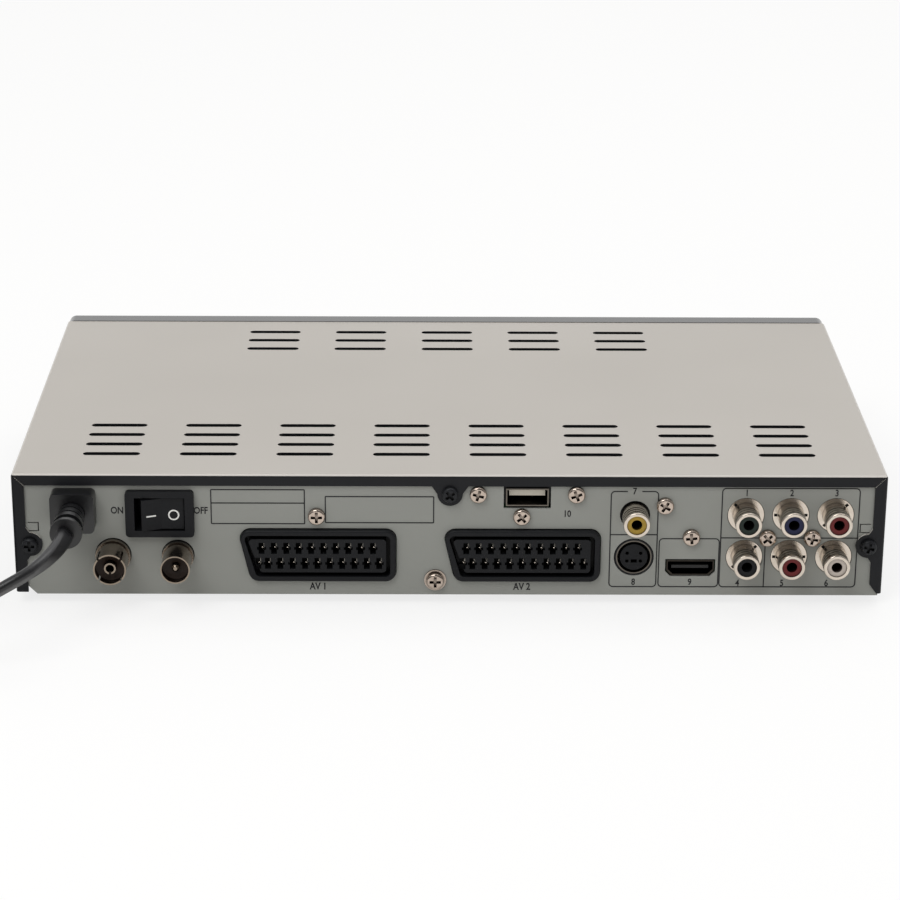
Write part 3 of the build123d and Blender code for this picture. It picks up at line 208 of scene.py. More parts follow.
# Materials
def cover_paint():
    """Satin black stove enamel on bent steel, black on the sides and flanges; the top face is painted pale warm
    grey as a painted reflection of the bright room.
    """
    # How far up a face looks where the black turns to the painted reflection, and where the painted highlight of a
    # bend begins and is whole
    reflection_ways = (0.45, 0.6)
    bend_highlight_ways = (0.99, 0.9)
    tone_patch = 90
    peel_size = 1.1
    peel_depth = 0.006
    material, tree = blank_material("satin_stove_enamel")
    coords = add(tree, "ShaderNodeTexCoord")
    place = coords.outputs["Object"]
    upward = add(tree, "ShaderNodeSeparateXYZ", None, {"Vector": coords.outputs["Normal"]}).outputs["Z"]
    # Painted reflection: the top's pale warm grey stands in for the bright room mirrored in the black enamel
    pale = blend(tree, noise(tree, place, tone_patch, 2), "ABA69F", "B7B2AB")
    # Painted highlight: the bends at the top's edges are painted paler, as if they caught more light
    bend_highlight = blend(tree, mapped(tree, upward, bend_highlight_ways), pale, "C6C2BC")
    # Orange peel of sprayed enamel, about a millimetre across
    peel = noise(tree, place, peel_size, 1)
    close_principled(
        tree,
        {
            "Base Color": blend(tree, mapped(tree, upward, reflection_ways), "17181B", bend_highlight),
            "Roughness": 0.38,
            "Specular IOR Level": 0.2,
            "Normal": relief(tree, peel, peel_depth),
        },
    )
    return material


def turned_nickel(name, dark, light, pit):
    """Bright nickel over turned brass: rings round the Y axis catch the light."""
    # Tool marks are drawn as soft bands about 3 mm apart, coarser than real, so that they show.
    # A wave texture turns through 20 radians in one unit of its scale.
    wave_radians = 20
    ring_radian = 0.5
    ring_depth = 0.004
    haze_size = 3
    gloss = (0.14, 0.26)
    material, tree = blank_material(name)
    place = object_place(tree)
    rings = add(
        tree,
        "ShaderNodeTexWave",
        {"bands_direction": "Y"},
        {"Vector": place, "Scale": per_metre(ring_radian) / wave_radians, "Distortion": 0.6, "Detail": 1},
    )
    haze = noise(tree, place, haze_size, 3)
    close_principled(
        tree,
        {
            # Painted shade in the recesses, from shade_pits
            "Base Color": shade_pits(tree, blend(tree, haze, dark, light), pit),
            "Metallic": 1,
            "Roughness": mapped(tree, haze, target=gloss),
            "Normal": relief(tree, rings.outputs["Fac"], ring_depth),
        },
    )
    return material


def circuit_laminate():
    """Glass-epoxy board under green solder mask: copper tracks show as paler lines."""
    # Two track blocks side by side, about 3 mm across each
    track_pair = 7
    track_depth = 0.03
    material, tree = blank_material("solder_masked_laminate")
    tracks = add(
        tree,
        "ShaderNodeTexBrick",
        {"offset": 0.37},
        {
            "Vector": object_place(tree),
            "Scale": per_metre(track_pair),
            "Mortar Size": 0.03,
            "Color1": colour("0E4A22"),
            "Color2": colour("125A2B"),
            "Mortar": colour("2F8048"),
        },
    )
    normal = relief(tree, tracks.outputs["Fac"], track_depth)
    close_principled(tree, {"Base Color": tracks.outputs["Color"], "Roughness": 0.35, "Normal": normal})
    return material


def tongue_plastic():
    """Moulded contact tongues: cream in the data socket, black in the digital video socket beyond it."""
    grain_size = 0.4
    grain_depth = 0.004
    material, tree = blank_material("contact_tongues")
    place = object_place(tree)
    spot = add(tree, "ShaderNodeSeparateXYZ", None, {"Vector": place})
    between = (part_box("data_socket")[1].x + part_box("digital_video_socket")[0].x) / 2
    beyond = add(tree, "ShaderNodeMath", {"operation": "GREATER_THAN"}, {0: spot.outputs["X"], 1: between})
    tone = blend(tree, beyond.outputs[0], "C9C2B4", "0C0C0D")
    normal = relief(tree, noise(tree, place, grain_size, 2), grain_depth)
    close_principled(tree, {"Base Color": tone, "Roughness": 0.45, "IOR": 1.5, "Normal": normal})
    return material


def make_materials():
    """The finish of each of the record's material slots, and of the inks and insulators."""
    matt = {"Specular IOR Level": 0}
    satin = {"IOR": 1.5, "Specular IOR Level": 0.2}
    plastic = {"IOR": 1.5, "Specular IOR Level": 0.3}
    gloss = {"IOR": 1.5, "Coat Weight": 0.5, "Coat Roughness": 0.1}
    slot_shade = ("060607", 2, 0.8)
    screw_shade = ("170E0A", 2.0, 0.9)
    bore_shade = ("0B0909", 4, 0.8)
    shell_shade = ("0C0A09", 4, 0.8)
    moulding = (0.42, 2, 0.4, 0.004, 0, plastic)
    return {
        "cover_paint": cover_paint(),
        # Powder-coated steel wall: flat warm grey with a faint tooth
        "wall_paint": surface("powder_coated_steel", "888984", "8F908B", 0.6, 60, 0.7, 0.006, 0, satin),
        # Moulded rubber, its tone drifting in patches
        "foot_rubber": surface("moulded_rubber", "1B1B1B", "262625", 0.85, 4, 0.4, 0.02),
        # Blackened steel screw: soft dark shine, with painted shade black in its cross
        "black_screw": surface(
            "black_oxide_steel", "1C1D1F", "2C2D30", 0.36, 1.5, 0.2, 0.006, 0.3, satin, ("050505", 1.3, 0.9)
        ),
        # Zinc-plated screw with a warm passivated tint, and painted shade dark brown in its cross and round the
        # dome's edge
        "bright_screw": surface(
            "zinc_plated_steel", "A39388", "D8CABD", 0.2, 1.2, 0.25, 0.006, 1, None, screw_shade
        ),
        # Tin-plated sheet, with painted shade inside the sockets
        "tinned_steel": surface(
            "tin_plated_steel", "A9A6A0", "C8C5BE", 0.24, 3, 0.5, 0.004, 1, None, shell_shade
        ),
        # Darker copies of the tin plate: painted shade for the shells of the data socket and the mini-DIN shield,
        # and darker still for the digital video socket's shell, which mirrors its black inside
        "shaded_tin": surface("shaded_tin_plate", "57524C", "7A746C", 0.3, 3, 0.5, 0.004, 1, None, shell_shade),
        "deep_shaded_tin": surface(
            "deep_shaded_tin_plate", "2C2926", "433F3A", 0.25, 3, 0.5, 0.004, 1, None, shell_shade
        ),
        # High-gloss moulded front
        "front_plastic": surface("polished_abs", "08090A", "0D0E10", 0.16, 50, 0.6, 0.001, 0, gloss),
        "smoked_window": surface("smoked_acrylic", "0B090A", "100D0E", 0.08, 40, 1, 0.0005, 0, gloss),
        # Spark-eroded mould grain on satin plastic, with painted shade down its slots
        "black_plastic": surface(
            "grained_abs", "101114", "17181B", 0.45, 6, 0.35, 0.006, 0, satin, slot_shade
        ),
        "circuit_board": circuit_laminate(),
        "ribbon_grey": surface("ribbon_vinyl", "9A9A98", "ADADAB", 0.5, 5, 1.27, 0.05),
        "bare_aluminium": surface("extruded_aluminium", "B5B6B8", "CACBCD", 0.35, 5, 0.4, 0.006, 1),
        "capacitor_sleeve": surface("shrink_sleeve", "10131F", "181C2B", 0.3, 3, 0.6, 0.004, 0, plastic),
        "ferrite": surface("sintered_ferrite", "232322", "303030", 0.7, 2, 0.3, 0.015),
        "fuse_glass": surface("fuse_glass", "C8D2D0", "D8E0DE", 0.08, 4, 1, 0.001, 0, {"Alpha": 0.6}),
        # Bright jack sleeves, and the duller, browner shells of the aerial sockets, both with painted shade in
        # their recesses
        "nickel": turned_nickel("turned_nickel", "C2B7AA", "E4DACE", ("3A2E26", 1.0, 0.7)),
        "aged_nickel": turned_nickel("aged_nickel", "7E7264", "A4978A", ("1A120D", 4, 0.8)),
        # Tinned spring contacts, with painted shade at the bottom of their slots
        "contact_brass": surface("tinned_brass", "A8A49C", "C4C0B8", 0.25, 1, 0.3, 0.003, 1, None, slot_shade),
        # Coloured insulators of the phono jacks, with painted shade in their bores
        "yellow_plastic": surface("yellow_moulding", "8E7222", "A58834", *moulding, bore_shade),
        "red_plastic": surface("red_moulding", "551315", "66191A", *moulding, bore_shade),
        "green_plastic": surface("green_moulding", "0F1C17", "16261F", *moulding, bore_shade),
        "blue_plastic": surface("blue_moulding", "0F1433", "161C42", *moulding, bore_shade),
        # White moulding, with painted shade in its holes
        "white_plastic": surface("white_moulding", "A79D94", "BDB3AA", *moulding, ("180A09", 5, 0.8)),
        "wire_sleeve": surface("wire_vinyl", "3A3A3C", "48484A", 0.45, 3, 0.5, 0.004, 0, plastic),
        # Soft extruded vinyl, faintly hazy
        "cord_vinyl": surface("soft_vinyl", "141416", "1E1E20", 0.34, 12, 0.5, 0.006, 0, {"IOR": 1.5}),
        "tie_plastic": surface("nylon_tie", "202021", "2A2A2B", 0.5, 4, 0.4, 0.006, 0, plastic),
        "plug_vinyl": surface("moulded_vinyl", "121214", "1A1A1C", 0.42, 8, 0.4, 0.012, 0, plastic),
        # The boot is shinier, so that its ribs catch the light
        "boot_vinyl": surface("boot_vinyl", "0D0D0F", "141416", 0.3, 8, 0.4, 0.006, 0, {"IOR": 1.55}),
        "button_plastic": surface("button_abs", "2A2B2E", "34353A", 0.25, 8, 0.4, 0.002, 0, plastic),
        # Screen-printed ink, slightly broken over the powder coat
        "ink": surface("screen_ink", "1E1E20", "2C2C2E", 0.6, 0.8, 0.3, 0.004, 0, satin),
        "white_ink": surface("pad_printed_white", "D5D5D1", "E6E6E2", 0.5, 0.8, 0.3, 0.003),
        "port_tongue": tongue_plastic(),
        "insulator": surface("brown_insulator", "241A15", "31251E", 0.45, 1.5, 0.4, 0.006, 0, satin),
        # Matt near-black standing in for the shade in recesses, and for the contact crosses: painted shade
        "recess": surface("painted_recess_shade", "040405", "070708", 0.9, 2, 0.4, 0.006, 0, matt),
    }


finishes = make_materials()


def dress(made, finish):
    """Gives a piece one material."""
    made.data.materials.clear()
    made.data.materials.append(finishes[finish])


def piece(name, mesh, finish, body="box"):
    """A new piece from a finished mesh, riding on a body."""
    made = bpy.data.objects.new(name, mesh)
    bpy.context.scene.collection.objects.link(made)
    dress(made, finish)
    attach(made, body)
    return made


def mesh_from(bm, name):
    mesh = bpy.data.meshes.new(name)
    bm.to_mesh(mesh)
    bm.free()
    return mesh


def smooth(mesh):
    for face in mesh.polygons:
        face.use_smooth = True


def skin(bm, rings):
    """Closes rings of points into a tube with capped ends."""
    for first, second in zip(rings, rings[1:]):
        for n in range(len(first)):
            m = (n + 1) % len(first)
            bm.faces.new((first[n], first[m], second[m], second[n]))
    bm.faces.new(rings[0][::-1])
    bm.faces.new(rings[-1])
    bmesh.ops.recalc_face_normals(bm, faces=bm.faces)


# Ink's share of its stand-off from the surface that it is printed on
film_share = 0.8


def thicken(made, proud):
    """Gives flat printing its thickness."""
    film = made.modifiers.new("film", "SOLIDIFY")
    film.thickness = proud * film_share
    film.offset = -1


# Nodes whose finish differs from the rest of their slot
own_finishes = {
    "antenna_in_socket": "aged_nickel",
    "antenna_out_socket": "aged_nickel",
    "antenna_contacts": "aged_nickel",
    # Shells below get the darker copies of the tin plate, which are painted shade
    "mini_din_shield": "shaded_tin",
    "data_socket": "shaded_tin",
    "digital_video_socket": "deep_shaded_tin",
    "cord_grip": "boot_vinyl",
    "port_tongues": "port_tongue",
}


def dress_nodes():
    for row in frame["record"]["subparts"]:
        dress(nodes[row["node"]], own_finishes.get(row["node"], row["material_slot"]))


# Mains lead: its route from the boot to the coil, x from the middle, y from the cover's rear, z up
cord_width = 5.2 * MM
cord_thick = 3.3 * MM
cord_straight = 8.0 * MM
cord_route = (
    (-0.1210, -0.0430, 0.0300),
    (-0.1325, -0.0488, 0.0252),
    (-0.1470, -0.0514, 0.0170),
    (-0.1600, -0.0523, 0.0086),
    (-0.1735, -0.0527, 0.0038),
    (-0.1860, -0.0527, 0.0038),
)
coil_turns = 7.25
coil_pitch = 5.9 * MM
coil_outer = 41.894 * MM
coil_low = 3.8 * MM
coil_tail = 26 * MM
coil_steps = 24
climb_turns = 0.5
tail_shares = (0.35, 0.65, 1)
# Fineness of the drawn line and of the cord's section, and the section's lobes and waist
line_resolution = 6
line_order = 3
section_points = 20
lobe_spread = 3
waist_share = 0.16
coil_middle = (cord_route[-1][0] - cord_width, cover_rear + cord_route[-1][1] + coil_outer)
plug_low, plug_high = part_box("mains_plug")
plug_mid_z = (plug_low.z + plug_high.z) / 2


def coil_point(turn):
    """A point of the coil: inwards on the floor, up a layer, then outwards."""
    radius = coil_outer - coil_pitch * min(turn, coil_turns - turn)
    climb = min(max((turn - coil_turns / 2) / climb_turns + 1 / 2, 0), 1)
    climb = climb * climb * (3 - 2 * climb)
    angle = -pi / 2 - 2 * pi * turn
    x = coil_middle[0] + radius * cos(angle)
    return Vector((x, coil_middle[1] + radius * sin(angle), coil_low + climb * coil_pitch))


def lead_line():
    """Points of the smooth line that the whole lead follows."""
    start = Vector((grip_x, boot_end, grip_z))
    points = [start, start - Vector((0, cord_straight, 0))]
    points += [Vector((x, cover_rear + y, z)) for x, y, z in cord_route]
    steps = round(coil_turns * coil_steps)
    points += [coil_point(coil_turns * n / steps) for n in range(1, steps + 1)]
    last = points[-1]
    # A small step back gives the way that the coil's end points
    step_back = 0.001
    way = (coil_point(coil_turns) - coil_point(coil_turns - step_back)).normalized()
    way = Vector((way.x, way.y, 0)).normalized()
    for share, z in zip(tail_shares, (last.z, plug_mid_z, plug_mid_z)):
        spot = last + way * coil_tail * share
        points.append(Vector((spot.x, spot.y, z)))
    points.append(points[-1] + way * cord_width)
    curve = bpy.data.curves.new("lead_line", "CURVE")
    curve.dimensions = "3D"
    curve.resolution_u = line_resolution
    spline = curve.splines.new("NURBS")
    spline.points.add(len(points) - 1)
    for spot, point in zip(spline.points, points):
        spot.co = (*point, 1)
    spline.order_u = line_order
    spline.use_endpoint_u = True
    line = bpy.data.objects.new("lead_line", curve)
    bpy.context.scene.collection.objects.link(line)
    bpy.context.view_layer.update()
    drawn = bpy.data.meshes.new_from_object(line.evaluated_get(bpy.context.evaluated_depsgraph_get()))
    found = [vertex.co.copy() for vertex in drawn.vertices]
    bpy.data.objects.remove(line)
    bpy.data.meshes.remove(drawn)
    return found


def cord_section():
    """A flat two-core section about its middle: across its thickness, then up its width."""
    lobe = cord_thick / 2
    reach = cord_width / 2 - lobe
    outline = []
    for number in range(section_points):
        angle = 2 * pi * number / section_points
        across = lobe * cos(angle)
        rise = lobe * sin(angle) + reach * max(-1, min(1, lobe_spread * sin(angle)))
        # The waist between the two cores
        waist = 1 - waist_share * max(0, 1 - abs(rise) / lobe)
        outline.append((across * waist, rise))
    return outline


def make_lead():
    line = lead_line()
    outline = cord_section()
    # The flat cord leaves the boot tilted one way, then twists the other way before the coil
    twist_first = radians(45)
    twist_fade = 25 * MM
    twist_end = 96 * MM
    twist_most = radians(50)
    bm = bmesh.new()
    rings = []
    gone = 0
    for number, spot in enumerate(line):
        before = line[max(number - 1, 0)]
        after = line[min(number + 1, len(line) - 1)]
        gone += (spot - before).length
        along = (after - before).normalized()
        side = along.cross(Vector((0, 0, 1))).normalized()
        up = side.cross(along)
        start = max(1 - gone / twist_fade, 0)
        turn = twist_most * sin(pi * min(gone / twist_end, 1)) * (1 - start) - twist_first * start
        flat = side * cos(turn) + up * sin(turn)
        tall = up * cos(turn) - side * sin(turn)
        rings.append([bm.verts.new(spot + flat * a + tall * b) for a, b in outline])
    skin(bm, rings)
    mesh = mesh_from(bm, "mains_lead")
    smooth(mesh)
    lead = piece("mains_lead", mesh, "cord_vinyl")
    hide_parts("mains_cord", "cord_coil")
    return lead, line


make_camera()
mains_lead, lead_points = make_lead()
dress_nodes()


# Stage: a pale floor just under the feet, partly white to the eye
floor_reach = 6
floor_drop = 0.2 * MM
floor_white_share = 0.78

# Glow of the room as light, and in gloss on the camera's side, which ends between two shares along Y
light_glow = 0.62
camera_side_glow = 0.14
room_turn = (-0.5, 0.3)

# Lamps: name, place, size and power, all aimed at the case
lamp_target = (0, 0, 0.02)
lamps = (("key_lamp", (-0.5, -0.9, 1.3), 0.9, 9), ("top_lamp", (0.4, 0.4, 1.5), 1.2, 7))


def make_stage():
    floor_mesh = bpy.data.meshes.new("floor")
    corners = [(x * floor_reach, y * floor_reach, 0) for x, y in ((-1, -1), (1, -1), (1, 1), (-1, 1))]
    floor_mesh.from_pydata(corners, [], [(0, 1, 2, 3)])
    floor = bpy.data.objects.new("floor", floor_mesh)
    floor.location.z = -floor_drop
    bpy.context.scene.collection.objects.link(floor)
    material, tree = blank_material("pale_floor")
    plain = add(tree, "ShaderNodeBsdfDiffuse", None, {"Color": colour("F4F3F1")})
    seen = add(tree, "ShaderNodeEmission", None, {"Color": colour("FFFFFF"), "Strength": 1})
    path = add(tree, "ShaderNodeLightPath")
    share = mapped(tree, path.outputs["Is Camera Ray"], target=(0, floor_white_share))
    both = add(tree, "ShaderNodeMixShader", None, {0: share, 1: plain.outputs[0], 2: seen.outputs[0]})
    close_material(tree, both.outputs[0])
    floor_mesh.materials.append(material)


def larger(tree, first, second):
    return add(tree, "ShaderNodeMath", {"operation": "MAXIMUM"}, {0: first, 1: second}).outputs[0]


def make_world():
    """White to the eye and in gloss and glass, with a dimmer room behind the camera, and softer as light."""
    world = bpy.data.worlds.new("studio")
    bpy.context.scene.world = world
    world.use_nodes = True
    tree = world.node_tree
    tree.nodes.clear()
    path = add(tree, "ShaderNodeLightPath").outputs
    outward = add(tree, "ShaderNodeTexCoord").outputs["Generated"]
    way = add(tree, "ShaderNodeSeparateXYZ", None, {"Vector": outward})
    room = mapped(tree, way.outputs["Y"], room_turn, (camera_side_glow, 1))
    mirrored = larger(tree, path["Is Glossy Ray"], path["Is Transmission Ray"])
    glow = mapped(tree, mirrored, target=(light_glow, room))
    strength = larger(tree, glow, path["Is Camera Ray"])
    sky = add(tree, "ShaderNodeBackground", None, {"Color": colour("FFFFFF"), "Strength": strength})
    add(tree, "ShaderNodeOutputWorld", None, {"Surface": sky.outputs[0]})


def make_lamp(name, place, size, power):
    data = bpy.data.lights.new(name, "AREA")
    data.shape = "DISK"
    data.size = size
    data.energy = power
    lamp = bpy.data.objects.new(name, data)
    lamp.location = place
    lamp.rotation_mode = "QUATERNION"
    lamp.rotation_quaternion = (Vector(lamp_target) - Vector(place)).to_track_quat("-Z", "Y")
    bpy.context.scene.collection.objects.link(lamp)


def make_light():
    make_world()
    for lamp in lamps:
        make_lamp(*lamp)


make_stage()
make_light()
view = bpy.context.scene.view_settings
view.view_transform = "Standard"


# Printed lines and words on the rear wall, measured from the case's middle and its underside
line_width = 0.34 * MM
print_proud = 0.05 * MM
stroke_share = 0.02
word_narrow_share = 0.8
word_resolution = 3
corner_steps = 5


def arc_points(middle, radius, first, last, steps):
    """Points along an arc, angles in degrees."""
    return [
        Vector(
            (
                middle[0] + radius * cos(radians(first + (last - first) * n / steps)),
                middle[1] + radius * sin(radians(first + (last - first) * n / steps)),
            )
        )
        for n in range(steps + 1)
    ]


def rounded_frame(x, z, radius):
    """Outline of a rounded frame, between its low and high ends."""
    inner_x = (x[0] + radius, x[1] - radius)
    inner_z = (z[0] + radius, z[1] - radius)
    corners = [(inner_x[side], inner_z[level]) for side, level in ((0, 1), (0, 0), (1, 0), (1, 1))]
    points = []
    for number, middle in enumerate(corners):
        points += arc_points(middle, radius, 90 * (number + 1), 90 * (number + 2), corner_steps)
    return points


def ink_strip(bm, points, width, closed):
    """A printed line of even width along points on the wall."""
    count = len(points)
    pairs = []
    for number, point in enumerate(points):
        before = points[(number - 1) % count] if closed or number else point
        after = points[(number + 1) % count] if closed or number < count - 1 else point
        along = (after - before).normalized()
        aside = Vector((-along.y, along.x)) * width / 2
        pair = []
        for spot in (point + aside, point - aside):
            pair.append(bm.verts.new((spot.x, wall_face - print_proud, base_z + spot.y)))
        pairs.append(pair)
    last = count if closed else count - 1
    for number in range(last):
        first, second = pairs[number], pairs[(number + 1) % count]
        bm.faces.new((first[0], second[0], second[1], first[1]))


def word_mesh(text, size):
    """A word as a flat mesh in X and Z, about its middle, facing -Y."""
    letters = bpy.data.curves.new("word", "FONT")
    letters.body = text
    letters.size = size
    letters.align_x = "CENTER"
    letters.align_y = "CENTER"
    letters.resolution_u = word_resolution
    letters.offset = size * stroke_share
    made = bpy.data.objects.new("word", letters)
    bpy.context.scene.collection.objects.link(made)
    bpy.context.view_layer.update()
    mesh = bpy.data.meshes.new_from_object(made.evaluated_get(bpy.context.evaluated_depsgraph_get()))
    bpy.data.objects.remove(made)
    mesh.transform(Matrix.Rotation(pi / 2, 4, "X") @ Matrix.Diagonal((word_narrow_share, 1, 1, 1)))
    return mesh


def add_word(bm, text, size, x, z):
    mesh = word_mesh(text, size)
    mesh.transform(Matrix.Translation((x, wall_face - print_proud, base_z + z)))
    bm.from_mesh(mesh)
    bpy.data.meshes.remove(mesh)


# Frames as low and high ends in x and z, corner radius and the gap for a word in their upper edge,
# single lines as two ends, and words with their size and middle, in millimetres
print_frames = (
    ((49.4, 63.9), (2.8, 34.5), 1.2, 4.4),
    ((64.6, 83.1), (2.8, 18.9), 1.2, 0),
    ((83.5, 125.7), (2.8, 35.6), 1.2, 0),
    ((-73.2, -44.6), (23.6, 34.8), 0.2, 0),
    ((-38.2, -5.0), (24.0, 32.6), 0.2, 0),
)
print_lines = (
    ((49.4, 20.2), (63.9, 20.2)),
    ((83.5, 19.2), (125.7, 19.2)),
    ((97.3, 2.8), (97.3, 19.2)),
    ((-73.2, 30.4), (-44.6, 30.4)),
)
print_words = (
    ("ON", 3.1, -102.0, 27.8),
    ("OFF", 3.1, -76.4, 27.8),
    ("AV 1", 3.2, -40.6, 2.6),
    ("AV 2", 3.2, 22.4, 2.6),
    ("1", 3.0, 91.0, 34.0),
    ("2", 3.0, 104.8, 34.0),
    ("3", 3.0, 118.6, 34.0),
    ("4", 3.0, 89.2, 4.0),
    ("5", 3.0, 103.0, 4.0),
    ("6", 3.0, 116.8, 4.0),
    ("7", 3.0, 56.6, 34.5),
    ("8", 3.0, 56.9, 4.3),
    ("9", 3.0, 74.4, 4.3),
    ("10", 3.0, 36.0, 27.0),
)


def make_wall_print():
    bm = bmesh.new()
    for x, z, radius, gap in print_frames:
        outline = rounded_frame([v * MM for v in x], [v * MM for v in z], radius * MM)
        if gap:
            middle = sum(x) / 2
            ends = [Vector((middle + side * gap / 2, z[1])) * MM for side in (-1, 1)]
            outline = [ends[0], *outline, ends[1]]
        ink_strip(bm, outline, line_width, not gap)
    for ends in print_lines:
        ink_strip(bm, [Vector(end) * MM for end in ends], line_width, False)
    for text, size, x, z in print_words:
        add_word(bm, text, size * MM, x * MM, z * MM)
    mesh = mesh_from(bm, "wall_print")
    made = piece("wall_print", mesh, "ink")
    thicken(made, print_proud)


make_wall_print()


# Switch marks: a dash on the raised half of the rocker and a ring on the pressed half
rocker_pivot = Vector(frame["joints"][0]["pos_m"])
rocker_half_angle = radians(10)
rocker_valley = 4.6 * MM
mark_out = 3.5 * MM
mark_drop = 0.4 * MM
mark_proud = 0.04 * MM
dash_length = 3.0 * MM
mark_width = 0.45 * MM
ring_radius = 1.5 * MM
ring_steps = 40


def rocker_spot(half, out, rise):
    """A point on a half of the rocker at rest: out from its valley, up from its middle."""
    slope = 0 if half > 0 else 2 * rocker_half_angle
    valley = Vector((sin(rocker_half_angle), -cos(rocker_half_angle), 0)) * rocker_valley
    along = Vector((half * cos(slope), -sin(slope), 0))
    outward = Vector((sin(slope), -cos(slope), 0))
    return rocker_pivot + valley + along * out + outward * mark_proud + Vector((0, 0, rise - mark_drop))


def make_rocker_marks():
    bm = bmesh.new()
    dash = []
    for out, rise in ((-1, -1), (1, -1), (1, 1), (-1, 1)):
        spot = rocker_spot(-1, mark_out + out * dash_length / 2, rise * mark_width / 2)
        dash.append(bm.verts.new(spot))
    bm.faces.new(dash)
    loops = []
    for radius in (ring_radius + mark_width / 2, ring_radius - mark_width / 2):
        ring = []
        for number in range(ring_steps):
            angle = 2 * pi * number / ring_steps
            ring.append(bm.verts.new(rocker_spot(1, mark_out + radius * cos(angle), radius * sin(angle))))
        loops.append(ring)
    for n in range(ring_steps):
        m = (n + 1) % ring_steps
        bm.faces.new((loops[0][n], loops[0][m], loops[1][m], loops[1][n]))
    for face in bm.faces:
        face.normal_update()
        if face.normal.y > 0:
            face.normal_flip()
    made = piece("rocker_marks", mesh_from(bm, "rocker_marks"), "white_ink", "rocker")
    thicken(made, mark_proud)


make_rocker_marks()


# Contact openings of the two 21-way sockets: a short matt black arm each side of every slot, just proud of the
# insert's face, is painted shade that makes each opening look like a cross
contact_pitch = 3.81 * MM
contact_count = 10
contact_row_gap = 5.0 * MM
contact_stagger = 1.9 * MM
contact_shift = 1.1 * MM
contact_end = 3.0 * MM
contact_face = 0.4 * MM
av_width = 48.75 * MM
av_height = 17.1 * MM
slot_width = 1.8 * MM
arm_length = 0.5 * MM
arm_height = 0.9 * MM
arm_proud = 0.06 * MM
tip_size = (0.42 * MM, 0.45 * MM, 0.26 * MM)
tip_place = Vector((0.35, 0.6, 0.3)) * MM
tip_segments = 12
tip_rings = 8


def contact_places():
    """Places of one socket's contacts about its middle, in X and Z."""
    half = (contact_count - 1) * contact_pitch / 2
    places = []
    for row in (-1, 1):
        for number in range(contact_count):
            shift = number * contact_pitch - half - row * contact_stagger / 2
            places.append((shift + contact_shift, row * contact_row_gap / 2))
    return places + [(places[0][0] - contact_end, -contact_row_gap / 2)]


def start_tree(name, vectors):
    """A node tree over points, with named vector inputs and a material."""
    tree = bpy.data.node_groups.new(name, "GeometryNodeTree")
    tree.interface.new_socket("Geometry", in_out="INPUT", socket_type="NodeSocketGeometry")
    for vector in vectors:
        tree.interface.new_socket(vector, in_out="INPUT", socket_type="NodeSocketVector")
    tree.interface.new_socket("Finish", in_out="INPUT", socket_type="NodeSocketMaterial")
    tree.interface.new_socket("Geometry", in_out="OUTPUT", socket_type="NodeSocketGeometry")
    return tree, add(tree, "NodeGroupInput").outputs


def close_tree(tree, given, shape):
    """Puts a shape on every point of the tree, in its finish."""
    spread = add(
        tree,
        "GeometryNodeInstanceOnPoints",
        None,
        {"Points": given["Geometry"], "Instance": shape},
    )
    real = add(tree, "GeometryNodeRealizeInstances", None, {"Geometry": spread.outputs[0]})
    done = add(
        tree,
        "GeometryNodeSetMaterial",
        None,
        {"Geometry": real.outputs[0], "Material": given["Finish"]},
    )
    add(tree, "NodeGroupOutput", None, {"Geometry": done.outputs[0]})
    return tree


def moved(tree, shape, place):
    values = {"Geometry": shape, "Translation": place}
    return add(tree, "GeometryNodeTransform", None, values).outputs[0]


def cross_tree():
    """Two arms of painted shade on every point, one each side."""
    tree, given = start_tree("contact_cross_shade", ("Arm size", "Arm offset"))
    arm = add(tree, "GeometryNodeMeshCube", None, {"Size": given["Arm size"]}).outputs["Mesh"]
    left = add(tree, "ShaderNodeVectorMath", {"operation": "SCALE"}, {0: given["Arm offset"], "Scale": -1})
    pair = add(tree, "GeometryNodeJoinGeometry")
    for place in (given["Arm offset"], left.outputs["Vector"]):
        tree.links.new(moved(tree, arm, place), pair.inputs[0])
    return close_tree(tree, given, pair.outputs[0])


def tip_tree():
    """The bowed tip of a contact spring on every point."""
    tree, given = start_tree("contact_tips", ("Tip size",))
    values = {"Segments": tip_segments, "Rings": tip_rings, "Radius": 1}
    bow = add(tree, "GeometryNodeMeshUVSphere", None, values)
    tip = add(
        tree,
        "GeometryNodeTransform",
        None,
        {"Geometry": bow.outputs["Mesh"], "Scale": given["Tip size"]},
    )
    return close_tree(tree, given, tip.outputs[0])


def grown(name, points, tree, values):
    """The plain mesh that a tree makes on points."""
    seed = bpy.data.meshes.new(name)
    seed.from_pydata(points, [], [])
    holder = bpy.data.objects.new(name, seed)
    bpy.context.scene.collection.objects.link(holder)
    change = holder.modifiers.new("grow", "NODES")
    change.node_group = tree
    for item in tree.interface.items_tree:
        if item.name in values:
            change[item.identifier] = values[item.name]
    bpy.context.view_layer.update()
    mesh = bpy.data.meshes.new_from_object(holder.evaluated_get(bpy.context.evaluated_depsgraph_get()))
    bpy.data.objects.remove(holder)
    return mesh


def make_contact_crosses():
    points = []
    for name in ("av_socket_left", "av_socket_right"):
        low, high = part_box(name)
        middle = (high.x - av_width / 2, low.z + av_height / 2)
        for x, z in contact_places():
            points.append((middle[0] + x, low.y + contact_face, middle[1] + z))
    values = {
        "Arm size": (arm_length, arm_proud, arm_height),
        "Arm offset": ((slot_width + arm_length) / 2, 0, 0),
        "Finish": finishes["recess"],
    }
    piece("contact_cross_shade", grown("contact_cross_shade", points, cross_tree(), values), "recess")
    tips = [Vector(point) + tip_place for point in points]
    values = {"Tip size": tip_size, "Finish": finishes["nickel"]}
    mesh = grown("contact_tips", tips, tip_tree(), values)
    smooth(mesh)
    piece("contact_tips", mesh, "nickel")


make_contact_crosses()


